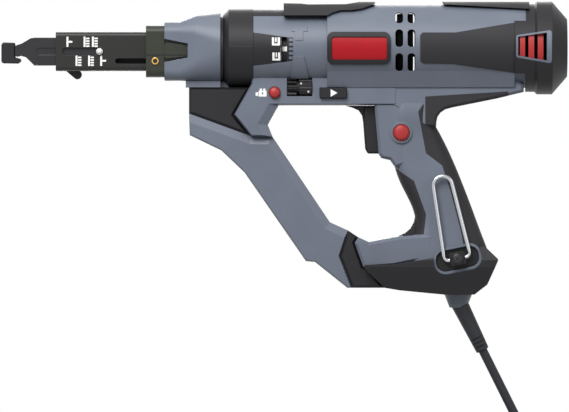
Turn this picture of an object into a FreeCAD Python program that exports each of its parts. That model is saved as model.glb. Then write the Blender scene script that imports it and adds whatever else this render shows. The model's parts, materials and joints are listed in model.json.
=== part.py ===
"""Corded screwdriver for collated drywall screws, as a parametric document.

Lengths are in millimetres. The origin is the centre of the hand grip, +X runs along the drive axis to the
rear cap, +Z is up and -Y is the left side of the tool. Side outlines are shares of the reach to the strip
mouth, of the height of the drive axis above the grip and of the depth of the base below it.
"""
import FreeCAD
import Part
import math
import os
from types import SimpleNamespace
from FreeCAD import Placement, Rotation, Vector

SIZES = {
    # Layout from the centre of the grip
    "axis_height": 97.5,
    "mouth_reach": 180.0,
    "base_depth": 87.0,
    "seam_reach": 74.5,
    "overrun": 2.0,
    "running_gap": 0.35,
    "shaft_gap": 0.05,
    # Motor barrel and the shells of the handle
    "barrel_length": 142.0,
    "barrel_radius": 31.6,
    "barrel_rise": 4.0,
    "shell_wall": 2.6,
    "frame_half_width": 18.5,
    "tail_half_width": 18.0,
    "neck_bevel": 7.0,
    "neck_bevel_depth": 3.0,
    "toe_half_width": 19.0,
    "handle_half_width": 18.0,
    "handle_corner": 11.0,
    "grip_thickness": 1.4,
    "edge_chamfer": 2.0,
    "small_chamfer": 1.0,
    "outline_round": 5.0,
    "rib_length": 6.0,
    "pad_depth": 1.2,
    "pad_rise": 0.8,
    "top_pad_rise": 2.3,
    "bezel_rise": 1.6,
    "badge_rise": 0.7,
    # Rear cap
    "cap_length": 40.3,
    "cap_neck_length": 15.3,
    "cap_radius": 35.3,
    "cap_neck_radius": 33.4,
    "cap_rise": 2.8,
    "cap_taper_length": 11.5,
    "cap_end_radius": 22.0,
    "cap_wall": 3.0,
    "finger_length": 8.7,
    "pad_overhang": 11.5,
    "louvre_rim": 1.6,
    "louvre_depth": 5.0,
    "louvre_sink": 1.6,
    # Gear case, covers and collar
    "cover_length": 56.0,
    "cover_radius": 29.3,
    "cover_thickness": 2.0,
    "cover_rib": 1.2,
    "collar_length": 23.0,
    "collar_radius": 29.8,
    "collar_rise": 2.5,
    "collar_chamfer": 4.5,
    "case_bore": 22.5,
    "case_front_wall": 3.0,
    # Nose cone, ring and slide holder
    "cone_length": 42.5,
    "cone_rear_radius": 26.9,
    "cone_half_height": 22.1,
    "cone_half_width": 20.0,
    "cone_corner": 8.0,
    "ring_length": 1.9,
    "ring_radius": 25.4,
    "saddle_half_width": 13.0,
    "holder_length": 14.0,
    "holder_half_height": 19.5,
    "holder_half_width": 17.6,
    "holder_corner": 5.0,
    "sleeve_length": 30.0,
    "sleeve_half_height": 17.4,
    "sleeve_half_width": 15.6,
    "tongue_rise": 3.2,
    "screw_radius": 2.7,
    "screw_shank": 1.5,
    "screw_head": 1.2,
    # Feed slide and nosepiece
    "slide_reach": 68.5,
    "slide_length": 100.4,
    "slide_half_height": 14.7,
    "slide_half_width": 13.0,
    "slide_corner": 3.0,
    "slide_wall": 2.4,
    "slide_stroke": 42.0,
    "slide_back": 3.0,
    "stop_pin_radius": 1.7,
    "stop_slot_drop": 7.3,
    "strip_half_width": 4.3,
    "size_pin_radius": 2.5,
    "size_pin_travel": 2.0,
    "nose_travel": 25.4,
    "leg_thickness": 2.3,
    "leg_half_height": 10.5,
    "groove_half_height": 2.7,
    "groove_depth": 0.8,
    "slot_spare": 3.4,
    "leg_front": 16.7,
    "nose_neck_length": 14.2,
    "tip_length": 10.5,
    "tip_half_height": 7.3,
    "tip_half_width": 8.5,
    "tip_chamfer": 0.8,
    "nose_bore": 5.4,
    "sprocket_radius": 6.2,
    "sprocket_length": 6.0,
    "sprocket_offset": 10.6,
    "pod_wall": 1.6,
    "pin_radius": 1.5,
    "lever_thickness": 3.0,
    "lever_length": 10.0,
    "lever_half_height": 3.4,
    "spring_radius": 11.0,
    "spring_wire": 0.7,
    # Drive train on the drive axis
    "bit_flat": 6.35,
    "bit_socket_depth": 24.0,
    "spindle_nose_radius": 7.3,
    "spindle_nose_length": 29.0,
    "spindle_journal": 5.0,
    "bearing_radius": 11.0,
    "bearing_length": 9.0,
    "carrier_radius": 14.5,
    "carrier_length": 3.0,
    "planet_pin": 2.2,
    "gear_module": 0.85,
    "gear_backlash": 0.16,
    "gear_width": 8.0,
    "gear_side_gap": 0.5,
    "ring_gear_radius": 20.6,
    "motor_shaft": 4.0,
    "motor_bearing_radius": 9.5,
    "motor_bearing_length": 6.5,
    "fan_radius": 23.0,
    "fan_length": 12.0,
    "fan_hub": 9.0,
    "blade_thickness": 1.6,
    "stator_radius": 24.4,
    "stator_bore": 15.8,
    "stator_length": 46.0,
    "coil_overhang": 7.0,
    "armature_radius": 15.2,
    "commutator_radius": 10.0,
    "commutator_length": 13.0,
    "brush_width": 8.0,
    "brush_length": 11.0,
    "brush_box": 2.0,
    # Depth of drive setting
    "depth_module": 1.4,
    "depth_backlash": 0.3,
    "depth_ring_inner": 20.3,
    "depth_mark_length": 4.6,
    "depth_gear_length": 7.0,
    "depth_web": 2.0,
    "wheel_offset": 13.5,
    "wheel_length": 9.5,
    "wheel_radius": 7.6,
    "wheel_pin": 1.6,
    "wheel_pocket_gap": 1.1,
    # Controls
    "trigger_half_width": 8.5,
    "shroud_half_width": 17.2,
    "trigger_travel": 6.0,
    "trigger_chamfer": 1.4,
    "lock_radius": 6.1,
    "lock_rim": 1.6,
    "lock_rise": 1.8,
    "lock_length": 8.0,
    "lock_travel": 3.0,
    "reverse_length": 20.0,
    "reverse_height": 7.4,
    "reverse_rise": 3.2,
    "release_radius": 4.1,
    "release_rise": 2.6,
    "release_length": 9.0,
    "switch_length": 26.0,
    "switch_height": 33.0,
    "switch_half_width": 10.0,
    # Housing screws
    "boss_radius": 4.0,
    "shank_radius": 1.7,
    "head_radius": 3.1,
    "head_length": 2.6,
    # Guide arm, base and belt hook
    "arm_half_width": 14.0,
    "arm_wall": 2.6,
    "arm_bevel": 6.0,
    "arm_bevel_depth": 2.2,
    "guard_half_width": 13.5,
    "foot_half_width": 15.0,
    "base_half_width": 27.0,
    "base_top_half_width": 20.5,
    "base_floor_half_width": 18.0,
    "base_wall": 4.0,
    "hook_wire": 1.5,
    "hook_half_span": 10.0,
    "hook_top_half_span": 7.1,
    "hook_height": 57.0,
    "hook_foot": 3.5,
    "hook_bend": 3.4,
    "hook_depth": 23.0,
    "recess_half_length": 18.5,
    "recess_half_height": 10.0,
    "recess_floor": 17.0,
    "hook_collar_length": 4.1,
    "hook_collar_wall": 2.0,
    "recess_plate": 1.0,
    "bracket_half_length": 6.0,
    "bracket_half_height": 5.0,
    "hook_screw_radius": 4.6,
    # Lead
    "cord_radius": 3.4,
    "cord_floor_drop": 216.0,
    "cord_run": 40.0,
    "cord_bend": 35.1,
    "gland_length": 10.0,
    "gland_radius": 10.5,
    "boot_length": 42.0,
    "boot_radius": 6.6,
    "boot_end_radius": 5.0,
    "coil_pitch": 7.4,
    "coil_outer_radius": 63.0,
    "coil_tail": 38.0,
    "plug_length": 32.0,
    "plug_half_width": 13.0,
    "plug_half_height": 10.6,
    "prong_length": 16.0,
    "prong_half_gap": 6.35,
    "prong_half_width": 3.2,
    "prong_thickness": 1.5,
}

HALF_TURN = 180.0
PRESSURE_ANGLE = math.radians(20.0)
SUN_TEETH = 12
PLANET_TEETH = 15
RING_TEETH = 42
PLANET_COUNT = 3
DEPTH_RING_TEETH = 33
DEPTH_WHEEL_TEETH = 10
FAN_BLADES = 11
SPROCKET_TEETH = 6
KNURL_TEETH = 20
HEX_SIDES = 6
SPRING_TURNS = 12
COIL_HALF_TURNS = 7
CORD_LEAN = math.radians(63.5)
HOOK_LEAN = 11.5
LEVER_LEAN = 40.0
FLANK_STEPS = 4
TINY = 1e-6
ADDENDUM_SHARE = 0.95
DEDENDUM_SHARE = 1.2
KNURL_SHARE = 0.93
CORNER_LIMIT_SHARE = 0.45
FULL_ROUND_SHARE = 0.98
CLIMB_SHARE = 1.4

# Sides of the neck and of the arm that have the wider bevel, counted from the first corner
NECK_BEVEL_SIDES = (4, 5)
ARM_BEVEL_SIDES = (0, 1, 2, 3)
# Side outlines of the handle frame, shares of reach and height
NECK_SHARES = [(-0.733, 0.83), (-0.733, 0.747), (-0.806, 0.507), (-0.733, 0.34), (-0.644, 0.337),
               (-0.664, 0.429), (-0.618, 0.582), (-0.12, 0.582), (-0.12, 0.83)]
SHROUD_SHARES = [(-0.215, 0.60), (-0.08, 0.60), (-0.08, 0.12), (-0.126, 0.097), (-0.148, 0.155),
                 (-0.184, 0.17), (-0.196, 0.2)]
TAIL_SHARES = [(-0.16, 0.80), (0.37, 0.80), (0.415, 0.74), (0.415, 0.685), (0.303, 0.635), (0.114, 0.565),
               (0.085, 0.55), (0.0645, 0.524), (0.0519, 0.492), (0.047, 0.454), (0.0455, 0.41), (0.0, 0.41),
               (-0.05, 0.47), (-0.16, 0.60)]
TOE_SHARES = [(-0.297, -0.55), (-0.283, -0.499), (-0.238, -0.542), (-0.108, -0.492), (0.03, -0.47),
              (0.03, -0.68), (-0.136, -0.749), (-0.25, -0.765), (-0.262, -0.756)]
ARM_SHARES = [(-0.996, 0.517), (-0.733, 0.34), (-0.644, 0.337), (-0.402, -0.369), (-0.325, -0.441),
              (-0.36, -0.666), (-0.308, -0.941), (-0.329, -0.941), (-0.465, -0.716), (-0.503, -0.709),
              (-0.762, 0.058), (-0.86, 0.23), (-0.993, 0.348)]
ARM_ROOM_SHARES = [(-0.996, 0.517), (-0.733, 0.34), (-0.644, 0.337), (-0.402, -0.369), (-0.34, -0.43),
                   (-0.375, -0.66), (-0.465, -0.70), (-0.503, -0.709), (-0.762, 0.058), (-0.86, 0.23),
                   (-0.993, 0.348)]
MOUTH_SHARES = [(-1.03, 0.495), (-0.93, 0.437), (-0.90, 0.30), (-0.93, 0.33), (-1.03, 0.405)]
FOOT_SHARES = [(-0.325, -0.441), (-0.283, -0.499), (-0.297, -0.55), (-0.262, -0.756), (-0.238, -0.774),
               (-0.171, -0.941), (-0.308, -0.941), (-0.36, -0.666)]
BASE_SHARES = [(-0.275, -0.74), (-0.136, -0.74), (0.03, -0.68), (0.249, -0.577), (0.308, -0.694),
               (0.261, -0.912), (0.207, -1.0), (0.078, -1.0), (-0.108, -0.963), (-0.171, -0.941)]
GUARD_SHARES = [(-0.996, 0.72), (-0.738, 0.72), (-0.806, 0.507), (-0.733, 0.34), (-0.996, 0.517)]
REAR_GRIP_SHARES = [(0.013, 0.649), (-0.03, 0.53), (0.003, 0.207), (0.071, 0.112), (0.105, -0.087),
                    (0.152, -0.463), (0.18, -0.8), (0.40, -0.8), (0.40, 0.649)]
TAIL_GRIP_SHARES = [(0.0, 0.40), (0.0, 0.648), (0.35, 0.688), (0.35, 0.40)]
FRONT_GRIP_SHARES = [(-0.2, 0.094), (-0.129, 0.094), (-0.048, -0.009), (0.003, -0.302), (-0.007, -0.476),
                     (-0.2, -0.476)]
TRIGGER_SHARES = [(-0.262, 0.578), (-0.262, 0.46), (-0.253, 0.242), (-0.242, 0.205), (-0.175, 0.205),
                  (-0.175, 0.578)]
LIP_SHARES = [(-0.335, 0.578), (-0.25, 0.578), (-0.25, 0.45), (-0.2615, 0.45), (-0.266, 0.50), (-0.28, 0.541),
              (-0.305, 0.562)]
GRIP_FOOT_SHARES = [(-0.041, -0.315), (-0.0475, -0.37), (-0.062, -0.425), (-0.085, -0.465), (-0.112, -0.488),
                    (0.0, -0.49), (0.0, -0.315)]
# Level sections of the handle: height, front, back and width
HANDLE_SHARES = [(0.62, -0.15, 0.055, 0.98), (0.39, -0.145, 0.053, 0.98), (0.172, -0.136, 0.112, 0.98),
                 (-0.02, -0.105, 0.155, 1.0), (-0.218, -0.058, 0.192, 1.0), (-0.33, -0.042, 0.212, 1.01),
                 (-0.507, -0.055, 0.244, 1.04), (-0.72, -0.075, 0.272, 1.06)]
# Covers and pads: shares of the length from the seam and of the radius above the axis
COVER_SHARES = [(1.0, 0.91), (0.0, 0.91), (0.0, -0.81), (1.0, -0.81), (1.0, -0.386), (0.5, -0.265),
                (0.46, -0.24), (0.46, 0.348), (0.516, 0.348), (1.0, 0.48)]
COVER_RIB_SHARES = [(0.5, -0.81), (0.234, -0.81), (0.316, -0.13), (0.457, -0.13)]
SIDE_PAD_SHARES = [(0.497, 0.38), (0.51, 0.4425), (0.685, 0.4425), (1.0, 0.683), (1.0, -0.515),
                   (0.672, -0.303), (0.51, -0.29), (0.497, -0.23)]
FRONT_PAD_SHARES = [(-0.232, 0.859), (0.0, 0.859), (0.03, 0.93), (0.07, 0.985), (0.13, 0.99), (0.185, 1.025),
                    (0.256, 1.147), (0.256, 1.3), (0.17, 1.3), (0.165, 1.188), (0.10, 1.137), (-0.10, 1.13),
                    (-0.144, 1.152), (-0.232, 1.16)]
BACK_PAD_SHARES = [(0.615, 1.20), (0.625, 1.128), (1.081, 1.02), (1.081, 1.3), (0.615, 1.3)]
SKIRT_SHARES = [(-0.807, -0.459), (0.807, -0.459), (0.608, -0.864), (-0.608, -0.864)]
FINGER_GAP_SHARES = (-0.53, 0.728)
BEZEL_SHARES = (0.0, 0.337, -0.32, 0.459)
BADGE_SHARES = (0.024, 0.319, -0.206, 0.339)
VENT_LENGTH_SHARES = [(0.364, 0.405), (0.429, 0.470)]
VENT_ROUND_SHARE = 0.47
VENT_HEIGHT_SHARES = [(-0.476, -0.055), (0.0986, 0.517), (0.671, 0.93)]
WINDOW_SHARES = [(0.025, 0.343), (0.697, 0.455), (0.697, -0.27), (0.025, -0.135)]
SLAT_SHARES = [(0.097, 0.196), (0.258, 0.367), (0.432, 0.541)]
REAR_RIM_SHARE = 0.603
# Fork of the cone: shares of the cone length and half height
FORK_SHARES = [(0.0, 0.446), (0.464, 0.265), (0.464, -0.217), (0.0, -0.392)]
TONGUE_SHARES = [(0.0, 0.30), (0.45, 0.2), (0.45, -0.17), (0.0, -0.26)]
SADDLE_SHARES = (0.62, 1.0)
# Swell of the cone: where along it, then half width, top, bottom and corner as shares of its rear radius
SWELL_SHARES = (0.562, 0.89, 1.011, -0.84, 0.56)
CONE_STRAIGHT_SHARE = 0.27
CONE_ROUND_SHARE = 0.94
NOSE_NECK_SHARES = [(0.0, 0.42), (0.36, 0.58), (0.85, 0.97), (1.2, 1.0), (1.2, -1.0), (1.0, -0.98),
                    (0.58, -0.42), (0.30, -0.30), (0.0, -0.42)]
TIP_SHARES = [(0.0, 0.72), (0.14, 0.95), (1.0, 0.91), (1.0, -0.62), (1.42, -0.76), (1.42, -1.05),
              (1.2, -1.25), (0.1, -1.22), (0.0, -1.02)]
# Point of the driver bit: length and radius as shares of the width across its flats
BIT_POINT_SHARES = [(0.0, 0.2), (1.0, 0.42), (3.0, 0.42)]
BIT_SHOULDER_SHARE = 4.0
# Levels of the base's section, shares of its depth: top, side, side and floor
BASE_LEVEL_SHARES = (-0.45, -0.70, -0.76, -1.05)
DEPTH_WINDOW_SHARES = (-0.35, 0.45)
LOCK_SHARES = (-0.101, 0.368)
REVERSE_SHARES = (-0.388, 0.676)
RELEASE_SHARES = (-0.635, 0.68)
SWITCH_SHARES = (-0.137, 0.195)
HOUSING_SCREWS = [(-0.735, 0.50, "frame_half_width"), (-0.24, 0.655, "frame_half_width"),
                  (0.02, 0.13, "handle_half_width"), (0.05, -0.30, "handle_half_width"),
                  (0.24, 0.68, "tail_half_width")]
ARM_SCREWS = [(-0.70, 0.23, "arm_half_width"), (-0.44, -0.55, "arm_half_width")]
HOOK_SHARES = (0.135, -0.687)
GLAND_SHARES = (0.140, -1.0)
SCREW_PLACE_SHARE = 0.5
STOP_SHARE = 0.35
STATOR_SHARE = 0.5
STRIP_SLOT_SHARES = (0.03, 0.33)
SPROCKET_SHARE = 0.2
SPROCKET_ROOT_SHARE = 0.62
LEVER_SHARE = 0.16
SIZE_PIN_SHARE = 0.485
LEG_SHARE = 0.56

doc = FreeCAD.newDocument("collated_screwdriver")
sheet = doc.addObject("Spreadsheet::Sheet", "Sizes")
for row, (alias, number) in enumerate(SIZES.items(), start=1):
    sheet.set(f"A{row}", alias)
    sheet.set(f"B{row}", str(number))
    sheet.setAlias(f"B{row}", alias)
doc.recompute()
mm = SimpleNamespace(**{alias: float(sheet.get(alias)) for alias in SIZES})
nodes = {}

# Stations along the drive axis
AXIS = mm.axis_height
SEAM = -mm.seam_reach
BARREL_REAR = SEAM + mm.barrel_length
CAP_REAR = BARREL_REAR + mm.cap_length
COLLAR_REAR = SEAM - mm.cover_length
COLLAR_FRONT = COLLAR_REAR - mm.collar_length
CONE_REAR = COLLAR_FRONT - mm.ring_length
CONE_FRONT = CONE_REAR - mm.cone_length
HOLDER_FRONT = CONE_FRONT - mm.holder_length
SLIDE_FRONT = HOLDER_FRONT - mm.slide_reach
SLIDE_REAR = SLIDE_FRONT + mm.slide_length
LEG_FRONT = SLIDE_FRONT - mm.leg_front
TIP_REAR = LEG_FRONT - mm.nose_neck_length
TIP_FRONT = TIP_REAR - mm.tip_length
# Stations inside the gear case, from the seam forwards
MOTOR_BEARING = SEAM - mm.motor_bearing_length
GEARS_REAR = MOTOR_BEARING - mm.gear_side_gap - mm.shell_wall
GEARS_FRONT = GEARS_REAR - mm.gear_width
CARRIER_REAR = GEARS_FRONT - mm.gear_side_gap
CARRIER_FRONT = CARRIER_REAR - mm.carrier_length
BEARING_REAR = CARRIER_FRONT - mm.gear_side_gap
BEARING_FRONT = BEARING_REAR - mm.bearing_length
CASE_WALL_FRONT = BEARING_FRONT - mm.case_front_wall
DEPTH_REAR = CARRIER_FRONT - mm.depth_web
DEPTH_GEAR_FRONT = DEPTH_REAR - mm.depth_gear_length
DEPTH_FRONT = DEPTH_GEAR_FRONT - mm.depth_mark_length


def bind(thing, **formulas):
    """Tie properties of a feature to formulas of the sheet, each word of which is a cell's name."""
    for name, formula in formulas.items():
        words = ["Sizes." + word if word in SIZES else word for word in formula.split()]
        thing.setExpression(name, " ".join(words))


def spot(reach_share, height_share):
    """Point of the side view from its shares of the reach and of the height or depth."""
    height = mm.axis_height if height_share > 0 else mm.base_depth
    return (reach_share * mm.mouth_reach, height_share * height)


def spots(shares):
    """Points of a side outline from its table of shares."""
    return [spot(*pair) for pair in shares]


def beside(start, length, radius, shares):
    """Points of an outline by the axis: shares of a length from a station and of a radius above the axis."""
    return [(start + along * length, AXIS + above * radius) for along, above in shares]


def rectangle(low_x, high_x, low_z, high_z):
    """Corner points of an upright rectangle."""
    return [(low_x, low_z), (high_x, low_z), (high_x, high_z), (low_x, high_z)]


def inset(points, distance, wide=0.0, wide_sides=()):
    """Outline moved inwards by a distance, with mitred corners; some sides may move by another distance."""
    area = sum(a[0] * b[1] - b[0] * a[1] for a, b in zip(points, points[1:] + points[:1]))
    side = math.copysign(1, area)
    count = len(points)
    shifts = [wide if index in wide_sides else distance for index in range(count)]
    moved = []
    for index, here in enumerate(points):
        before, after = points[index - 1], points[(index + 1) % count]
        into = Vector(here[0] - before[0], here[1] - before[1], 0).normalize()
        out = Vector(after[0] - here[0], after[1] - here[1], 0).normalize()
        normal_in = Vector(-into.y, into.x, 0) * side
        normal_out = Vector(-out.y, out.x, 0) * side
        overlap = normal_in.dot(normal_out)
        spread = 1 - overlap * overlap
        if spread < TINY:
            mitre = normal_in * shifts[index]
        else:
            share_in = (shifts[index - 1] - overlap * shifts[index]) / spread
            share_out = (shifts[index] - overlap * shifts[index - 1]) / spread
            mitre = normal_in * share_in + normal_out * share_out
        moved.append((here[0] + mitre.x, here[1] + mitre.y))
    return moved


def rounded(points, radius):
    """Lines and tangent arcs round an outline; a corner takes as much of the radius as its sides allow."""
    corners = [Vector(x, z, 0) for x, z in points]
    count = len(corners)
    starts, ends, middles = [], [], []
    for index, here in enumerate(corners):
        back = corners[index - 1] - here
        ahead = corners[(index + 1) % count] - here
        half = back.getAngle(ahead) / 2
        room = CORNER_LIMIT_SHARE * min(back.Length, ahead.Length)
        cut_back = min(radius / math.tan(half), room)
        reach = cut_back * math.tan(half)
        start = here + Vector(back).normalize() * cut_back
        end = here + Vector(ahead).normalize() * cut_back
        bisector = (Vector(back).normalize() + Vector(ahead).normalize())
        flat = radius <= 0 or bisector.Length < TINY
        starts.append(here if flat else start)
        ends.append(here if flat else end)
        middle = None if flat else here + bisector.normalize() * (reach / math.sin(half) - reach)
        middles.append(middle)
    pieces = []
    for index in range(count):
        if middles[index] is not None:
            pieces.append(Part.Arc(starts[index], middles[index], ends[index]))
        pieces.append(Part.LineSegment(ends[index], starts[(index + 1) % count]))
    return pieces


def sketch_in(body, role, name, pieces, offset=0.0):
    """Sketch of the given lines and arcs on one of the body's origin planes."""
    sketch = body.newObject("Sketcher::SketchObject", name)
    plane = [feature for feature in body.Origin.OriginFeatures if feature.Role == role][0]
    sketch.AttachmentSupport = [(plane, "")]
    sketch.MapMode = "FlatFace"
    sketch.AttachmentOffset = Placement(Vector(0, 0, offset), Rotation())
    sketch.addGeometry(pieces, False)
    return sketch


def prism(label, points, width, corner=0.0, chamfer=None, role="XZ_Plane", shift=None):
    """Body padded evenly to both sides of an origin plane from a closed outline.

    Args:
        label: name of the body.
        points: corners of the outline in the plane.
        width: formula of the whole width.
        corner: radius of the outline's corners.
        chamfer: cell of the chamfer on the edges of both faces.
        role: origin plane of the sketch.
        shift: place of the body.
    """
    body = doc.addObject("PartDesign::Body", label)
    sketch = sketch_in(body, role, label + "_outline", rounded(points, corner))
    pad = body.newObject("PartDesign::Pad", label + "_pad")
    pad.Profile = sketch
    pad.SideType = "Symmetric"
    bind(pad, Length=width)
    if chamfer:
        doc.recompute()
        rim = []
        for index, edge in enumerate(pad.Shape.Edges, start=1):
            levels = [vertex.Point.y for vertex in edge.Vertexes]
            if max(levels) - min(levels) < mm.shaft_gap:
                rim.append(f"Edge{index}")
        bevel = body.newObject("PartDesign::Chamfer", label + "_chamfer")
        bevel.Base = (pad, rim)
        bind(bevel, Size=chamfer)
    if shift:
        body.Placement = Placement(shift, Rotation())
    return body


def turned(label, profile, height=AXIS):
    """Body turned about a line along X from points of station and radius."""
    body = doc.addObject("PartDesign::Body", label)
    sketch = sketch_in(body, "XZ_Plane", label + "_profile", rounded(profile, 0.0))
    turn = body.newObject("PartDesign::Revolution", label + "_turn")
    turn.Profile = sketch
    turn.ReferenceAxis = (sketch, ["H_Axis"])
    turn.Angle = 2 * HALF_TURN
    body.Placement = Placement(Vector(0, 0, height), Rotation())
    return body


def lofted(label, sections, role):
    """Body lofted through rounded rectangles: offset, corner points and corner radius of each."""
    body = doc.addObject("PartDesign::Body", label)
    sketches = []
    for index, (offset, points, corner) in enumerate(sections):
        pieces = rounded(points, corner)
        sketches.append(sketch_in(body, role, f"{label}_section_{index}", pieces, offset))
    skin = body.newObject("PartDesign::AdditiveLoft", label + "_skin")
    skin.Profile = sketches[0]
    skin.Sections = sketches[1:]
    return body


def bevelled(label, points, half_width, depth, narrow, wide, wide_sides):
    """Body of a side outline whose faces are bevelled, more so along some of its sides.

    Args:
        label: name of the body.
        points: corners of the outline.
        half_width: half of the whole width.
        depth: how far the bevels reach in from each face.
        narrow: width of the bevels in the side view.
        wide: width of the bevels along the sides named last.
        wide_sides: numbers of those sides, counted from the first corner.
    """
    face = inset(points, narrow, wide, wide_sides)
    inner = half_width - depth
    levels = [(-half_width, face), (-inner, points), (inner, points), (half_width, face)]
    body = lofted(label, [(level, outline, 0.0) for level, outline in levels], "XZ_Plane")
    body.Tip.Ruled = True
    return body


def rod(label, radius, length, start, along=Vector(1, 0, 0)):
    """Cylinder of bound radius and length from a start point."""
    thing = doc.addObject("Part::Cylinder", label)
    thing.Placement = Placement(start, Rotation(Vector(0, 0, 1), along))
    bind(thing, Radius=radius, Height=length)
    return thing


def block(label, length, width, height, corner):
    """Box of bound sizes from its low corner."""
    thing = doc.addObject("Part::Box", label)
    thing.Placement = Placement(corner, Rotation())
    bind(thing, Length=length, Width=width, Height=height)
    return thing


def fuse(label, *pieces):
    """Union of pieces."""
    thing = doc.addObject("Part::MultiFuse", label)
    thing.Shapes = list(pieces)
    return thing


def group(label, *pieces):
    """Several separate solids kept together in one node."""
    thing = doc.addObject("Part::Compound", label)
    thing.Links = list(pieces)
    return thing


def cut(label, base, *tools):
    """A piece less one or more tools."""
    thing = doc.addObject("Part::Cut", label)
    thing.Base = base
    thing.Tool = tools[0] if len(tools) == 1 else fuse(label + "_tools", *tools)
    return thing


def common(label, *pieces):
    """Volume that the pieces share."""
    thing = doc.addObject("Part::MultiCommon", label)
    thing.Shapes = list(pieces)
    return thing


def keep(thing):
    """Note a finished piece for export under its label."""
    nodes[thing.Label] = thing
    return thing


def shaped(label, shape):
    """Piece whose shape is worked out in code from the sheet's sizes."""
    thing = doc.addObject("Part::Feature", label)
    thing.Shape = shape
    return thing


def round_box(half_width, half_height):
    """Corner points of a rectangle across the axis, in Y and Z."""
    return rectangle(-half_width, half_width, -half_height, half_height)


def involute(angle):
    """Involute of a pressure angle."""
    return math.tan(angle) - angle


def gear_points(teeth, module, outer_share, inner_share, slack, phase):
    """Outline of a spur gear with flat-faced involute flanks.

    A flank point at radius r lies half a tooth from the tooth's middle, widened by the involute of the
    pressure angle and narrowed by that of the angle whose cosine is base radius over r.
    """
    pitch = teeth * module / 2
    base = pitch * math.cos(PRESSURE_ANGLE)
    outer = pitch + outer_share * module
    inner = pitch - inner_share * module
    low = max(base, inner)
    half = math.pi / (2 * teeth) - slack / (2 * pitch) + involute(PRESSURE_ANGLE)
    flank = []
    for step in range(FLANK_STEPS + 1):
        radius = low + (outer - low) * step / FLANK_STEPS
        flank.append((radius, half - involute(math.acos(base / radius))))
    if inner < base:
        flank.insert(0, (inner, flank[0][1]))
    points = []
    for tooth in range(teeth):
        middle = phase + 2 * math.pi * tooth / teeth
        side = [(radius, middle - turn) for radius, turn in flank]
        side += [(radius, middle + turn) for radius, turn in reversed(flank)]
        points += [(radius * math.cos(turn), radius * math.sin(turn)) for radius, turn in side]
    return points


def bar(label, points, start, length, centre_y=0.0, centre_z=AXIS, corner=0.0):
    """Prism along X from a start station; the outline's axes are Y and Z from the centre."""
    body = doc.addObject("PartDesign::Body", label)
    sketch = sketch_in(body, "YZ_Plane", label + "_outline", rounded(points, corner))
    pad = body.newObject("PartDesign::Pad", label + "_pad")
    pad.Profile = sketch
    bind(pad, Length=length)
    body.Placement = Placement(Vector(start, centre_y, centre_z), Rotation())
    return body


def box_tube(label, half_width, half_height, corner, start, length):
    """Prism along X of a rounded rectangle centred on the drive axis."""
    return bar(label, round_box(half_width, half_height), start, length, corner=corner)


def tube(label, edges, radius):
    """Round bar along a chain of lines and arcs."""
    path = Part.Wire(edges)
    first = path.OrderedEdges[0]
    start = first.valueAt(first.FirstParameter)
    heading = first.tangentAt(first.FirstParameter)
    ring = Part.Wire([Part.makeCircle(radius, start, heading)])
    return shaped(label, path.makePipeShell([ring], True, False))


def bent_path(points, bends):
    """Straight runs joined by tangent arcs of the given radii at the inner points."""
    edges = []
    last = points[0]
    for index in range(1, len(points) - 1):
        here = points[index]
        back = (points[index - 1] - here).normalize()
        ahead = (points[index + 1] - here).normalize()
        half = back.getAngle(ahead) / 2
        reach = bends[index - 1] / math.tan(half)
        start = here + back * reach
        end = here + ahead * reach
        sagitta = bends[index - 1] / math.sin(half) - bends[index - 1]
        middle = here + (back + ahead).normalize() * sagitta
        edges += [Part.LineSegment(last, start).toShape(), Part.Arc(start, middle, end).toShape()]
        last = end
    edges.append(Part.LineSegment(last, points[-1]).toShape())
    return edges


def biarc(start, heading, end, heading_out):
    """Two arcs that leave and arrive along the given headings and meet smoothly."""
    chord = end - start
    total = heading + heading_out
    across = 2 * (1 - heading.dot(heading_out))
    middle = chord.dot(total)
    span = chord.dot(chord)
    if across < TINY * TINY:
        reach = span / (2 * middle)
    else:
        reach = (-middle + math.sqrt(middle * middle + across * span)) / across
    meeting = (start + end + (heading - heading_out) * reach) / 2
    arcs = []
    for first, direction, last in ((start, heading, meeting), (end, heading_out * -1, meeting)):
        corner = first + direction * reach
        half = (first - corner).getAngle(last - corner) / 2
        inward = ((first - corner).normalize() + (last - corner).normalize()).normalize()
        radius = reach * math.tan(half)
        arcs.append((first, corner + inward * (radius / math.sin(half) - radius), last))
    ahead = Part.Arc(*arcs[0]).toShape()
    back = Part.Arc(arcs[1][2], arcs[1][1], arcs[1][0]).toShape()
    return [ahead, back]


def spring(label, radius, wire, start, length, turns):
    """Compression spring along X from a start point."""
    helix = Part.makeHelix(length / turns, length, radius)
    ring = Part.Wire([Part.makeCircle(wire, Vector(radius, 0, 0), Vector(0, 1, 0))])
    coil = Part.Wire(helix).makePipeShell([ring], True, True)
    thing = shaped(label, coil)
    thing.Placement = Placement(start, Rotation(Vector(0, 0, 1), Vector(1, 0, 0)))
    return thing


# Halves of the tool
left_side = block("left_side", "4 * mouth_reach", "mouth_reach", "4 * mouth_reach",
                  Vector(-2 * mm.mouth_reach, -mm.mouth_reach, -2 * mm.mouth_reach))
right_side = block("right_side", "4 * mouth_reach", "mouth_reach", "4 * mouth_reach",
                   Vector(-2 * mm.mouth_reach, 0, -2 * mm.mouth_reach))

# Depth setting: where the thumb wheel stands
DEPTH_RING_PITCH = DEPTH_RING_TEETH * mm.depth_module / 2
DEPTH_WHEEL_PITCH = DEPTH_WHEEL_TEETH * mm.depth_module / 2
DEPTH_SPAN = DEPTH_RING_PITCH + DEPTH_WHEEL_PITCH + mm.shaft_gap
WHEEL_Y = -mm.wheel_offset
WHEEL_Z = AXIS - math.sqrt(DEPTH_SPAN ** 2 - mm.wheel_offset ** 2)
WHEEL_POCKET = "wheel_radius + wheel_pocket_gap"
POCKET_LENGTH = "depth_gear_length + wheel_length + depth_web + 2 * running_gap"

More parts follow.
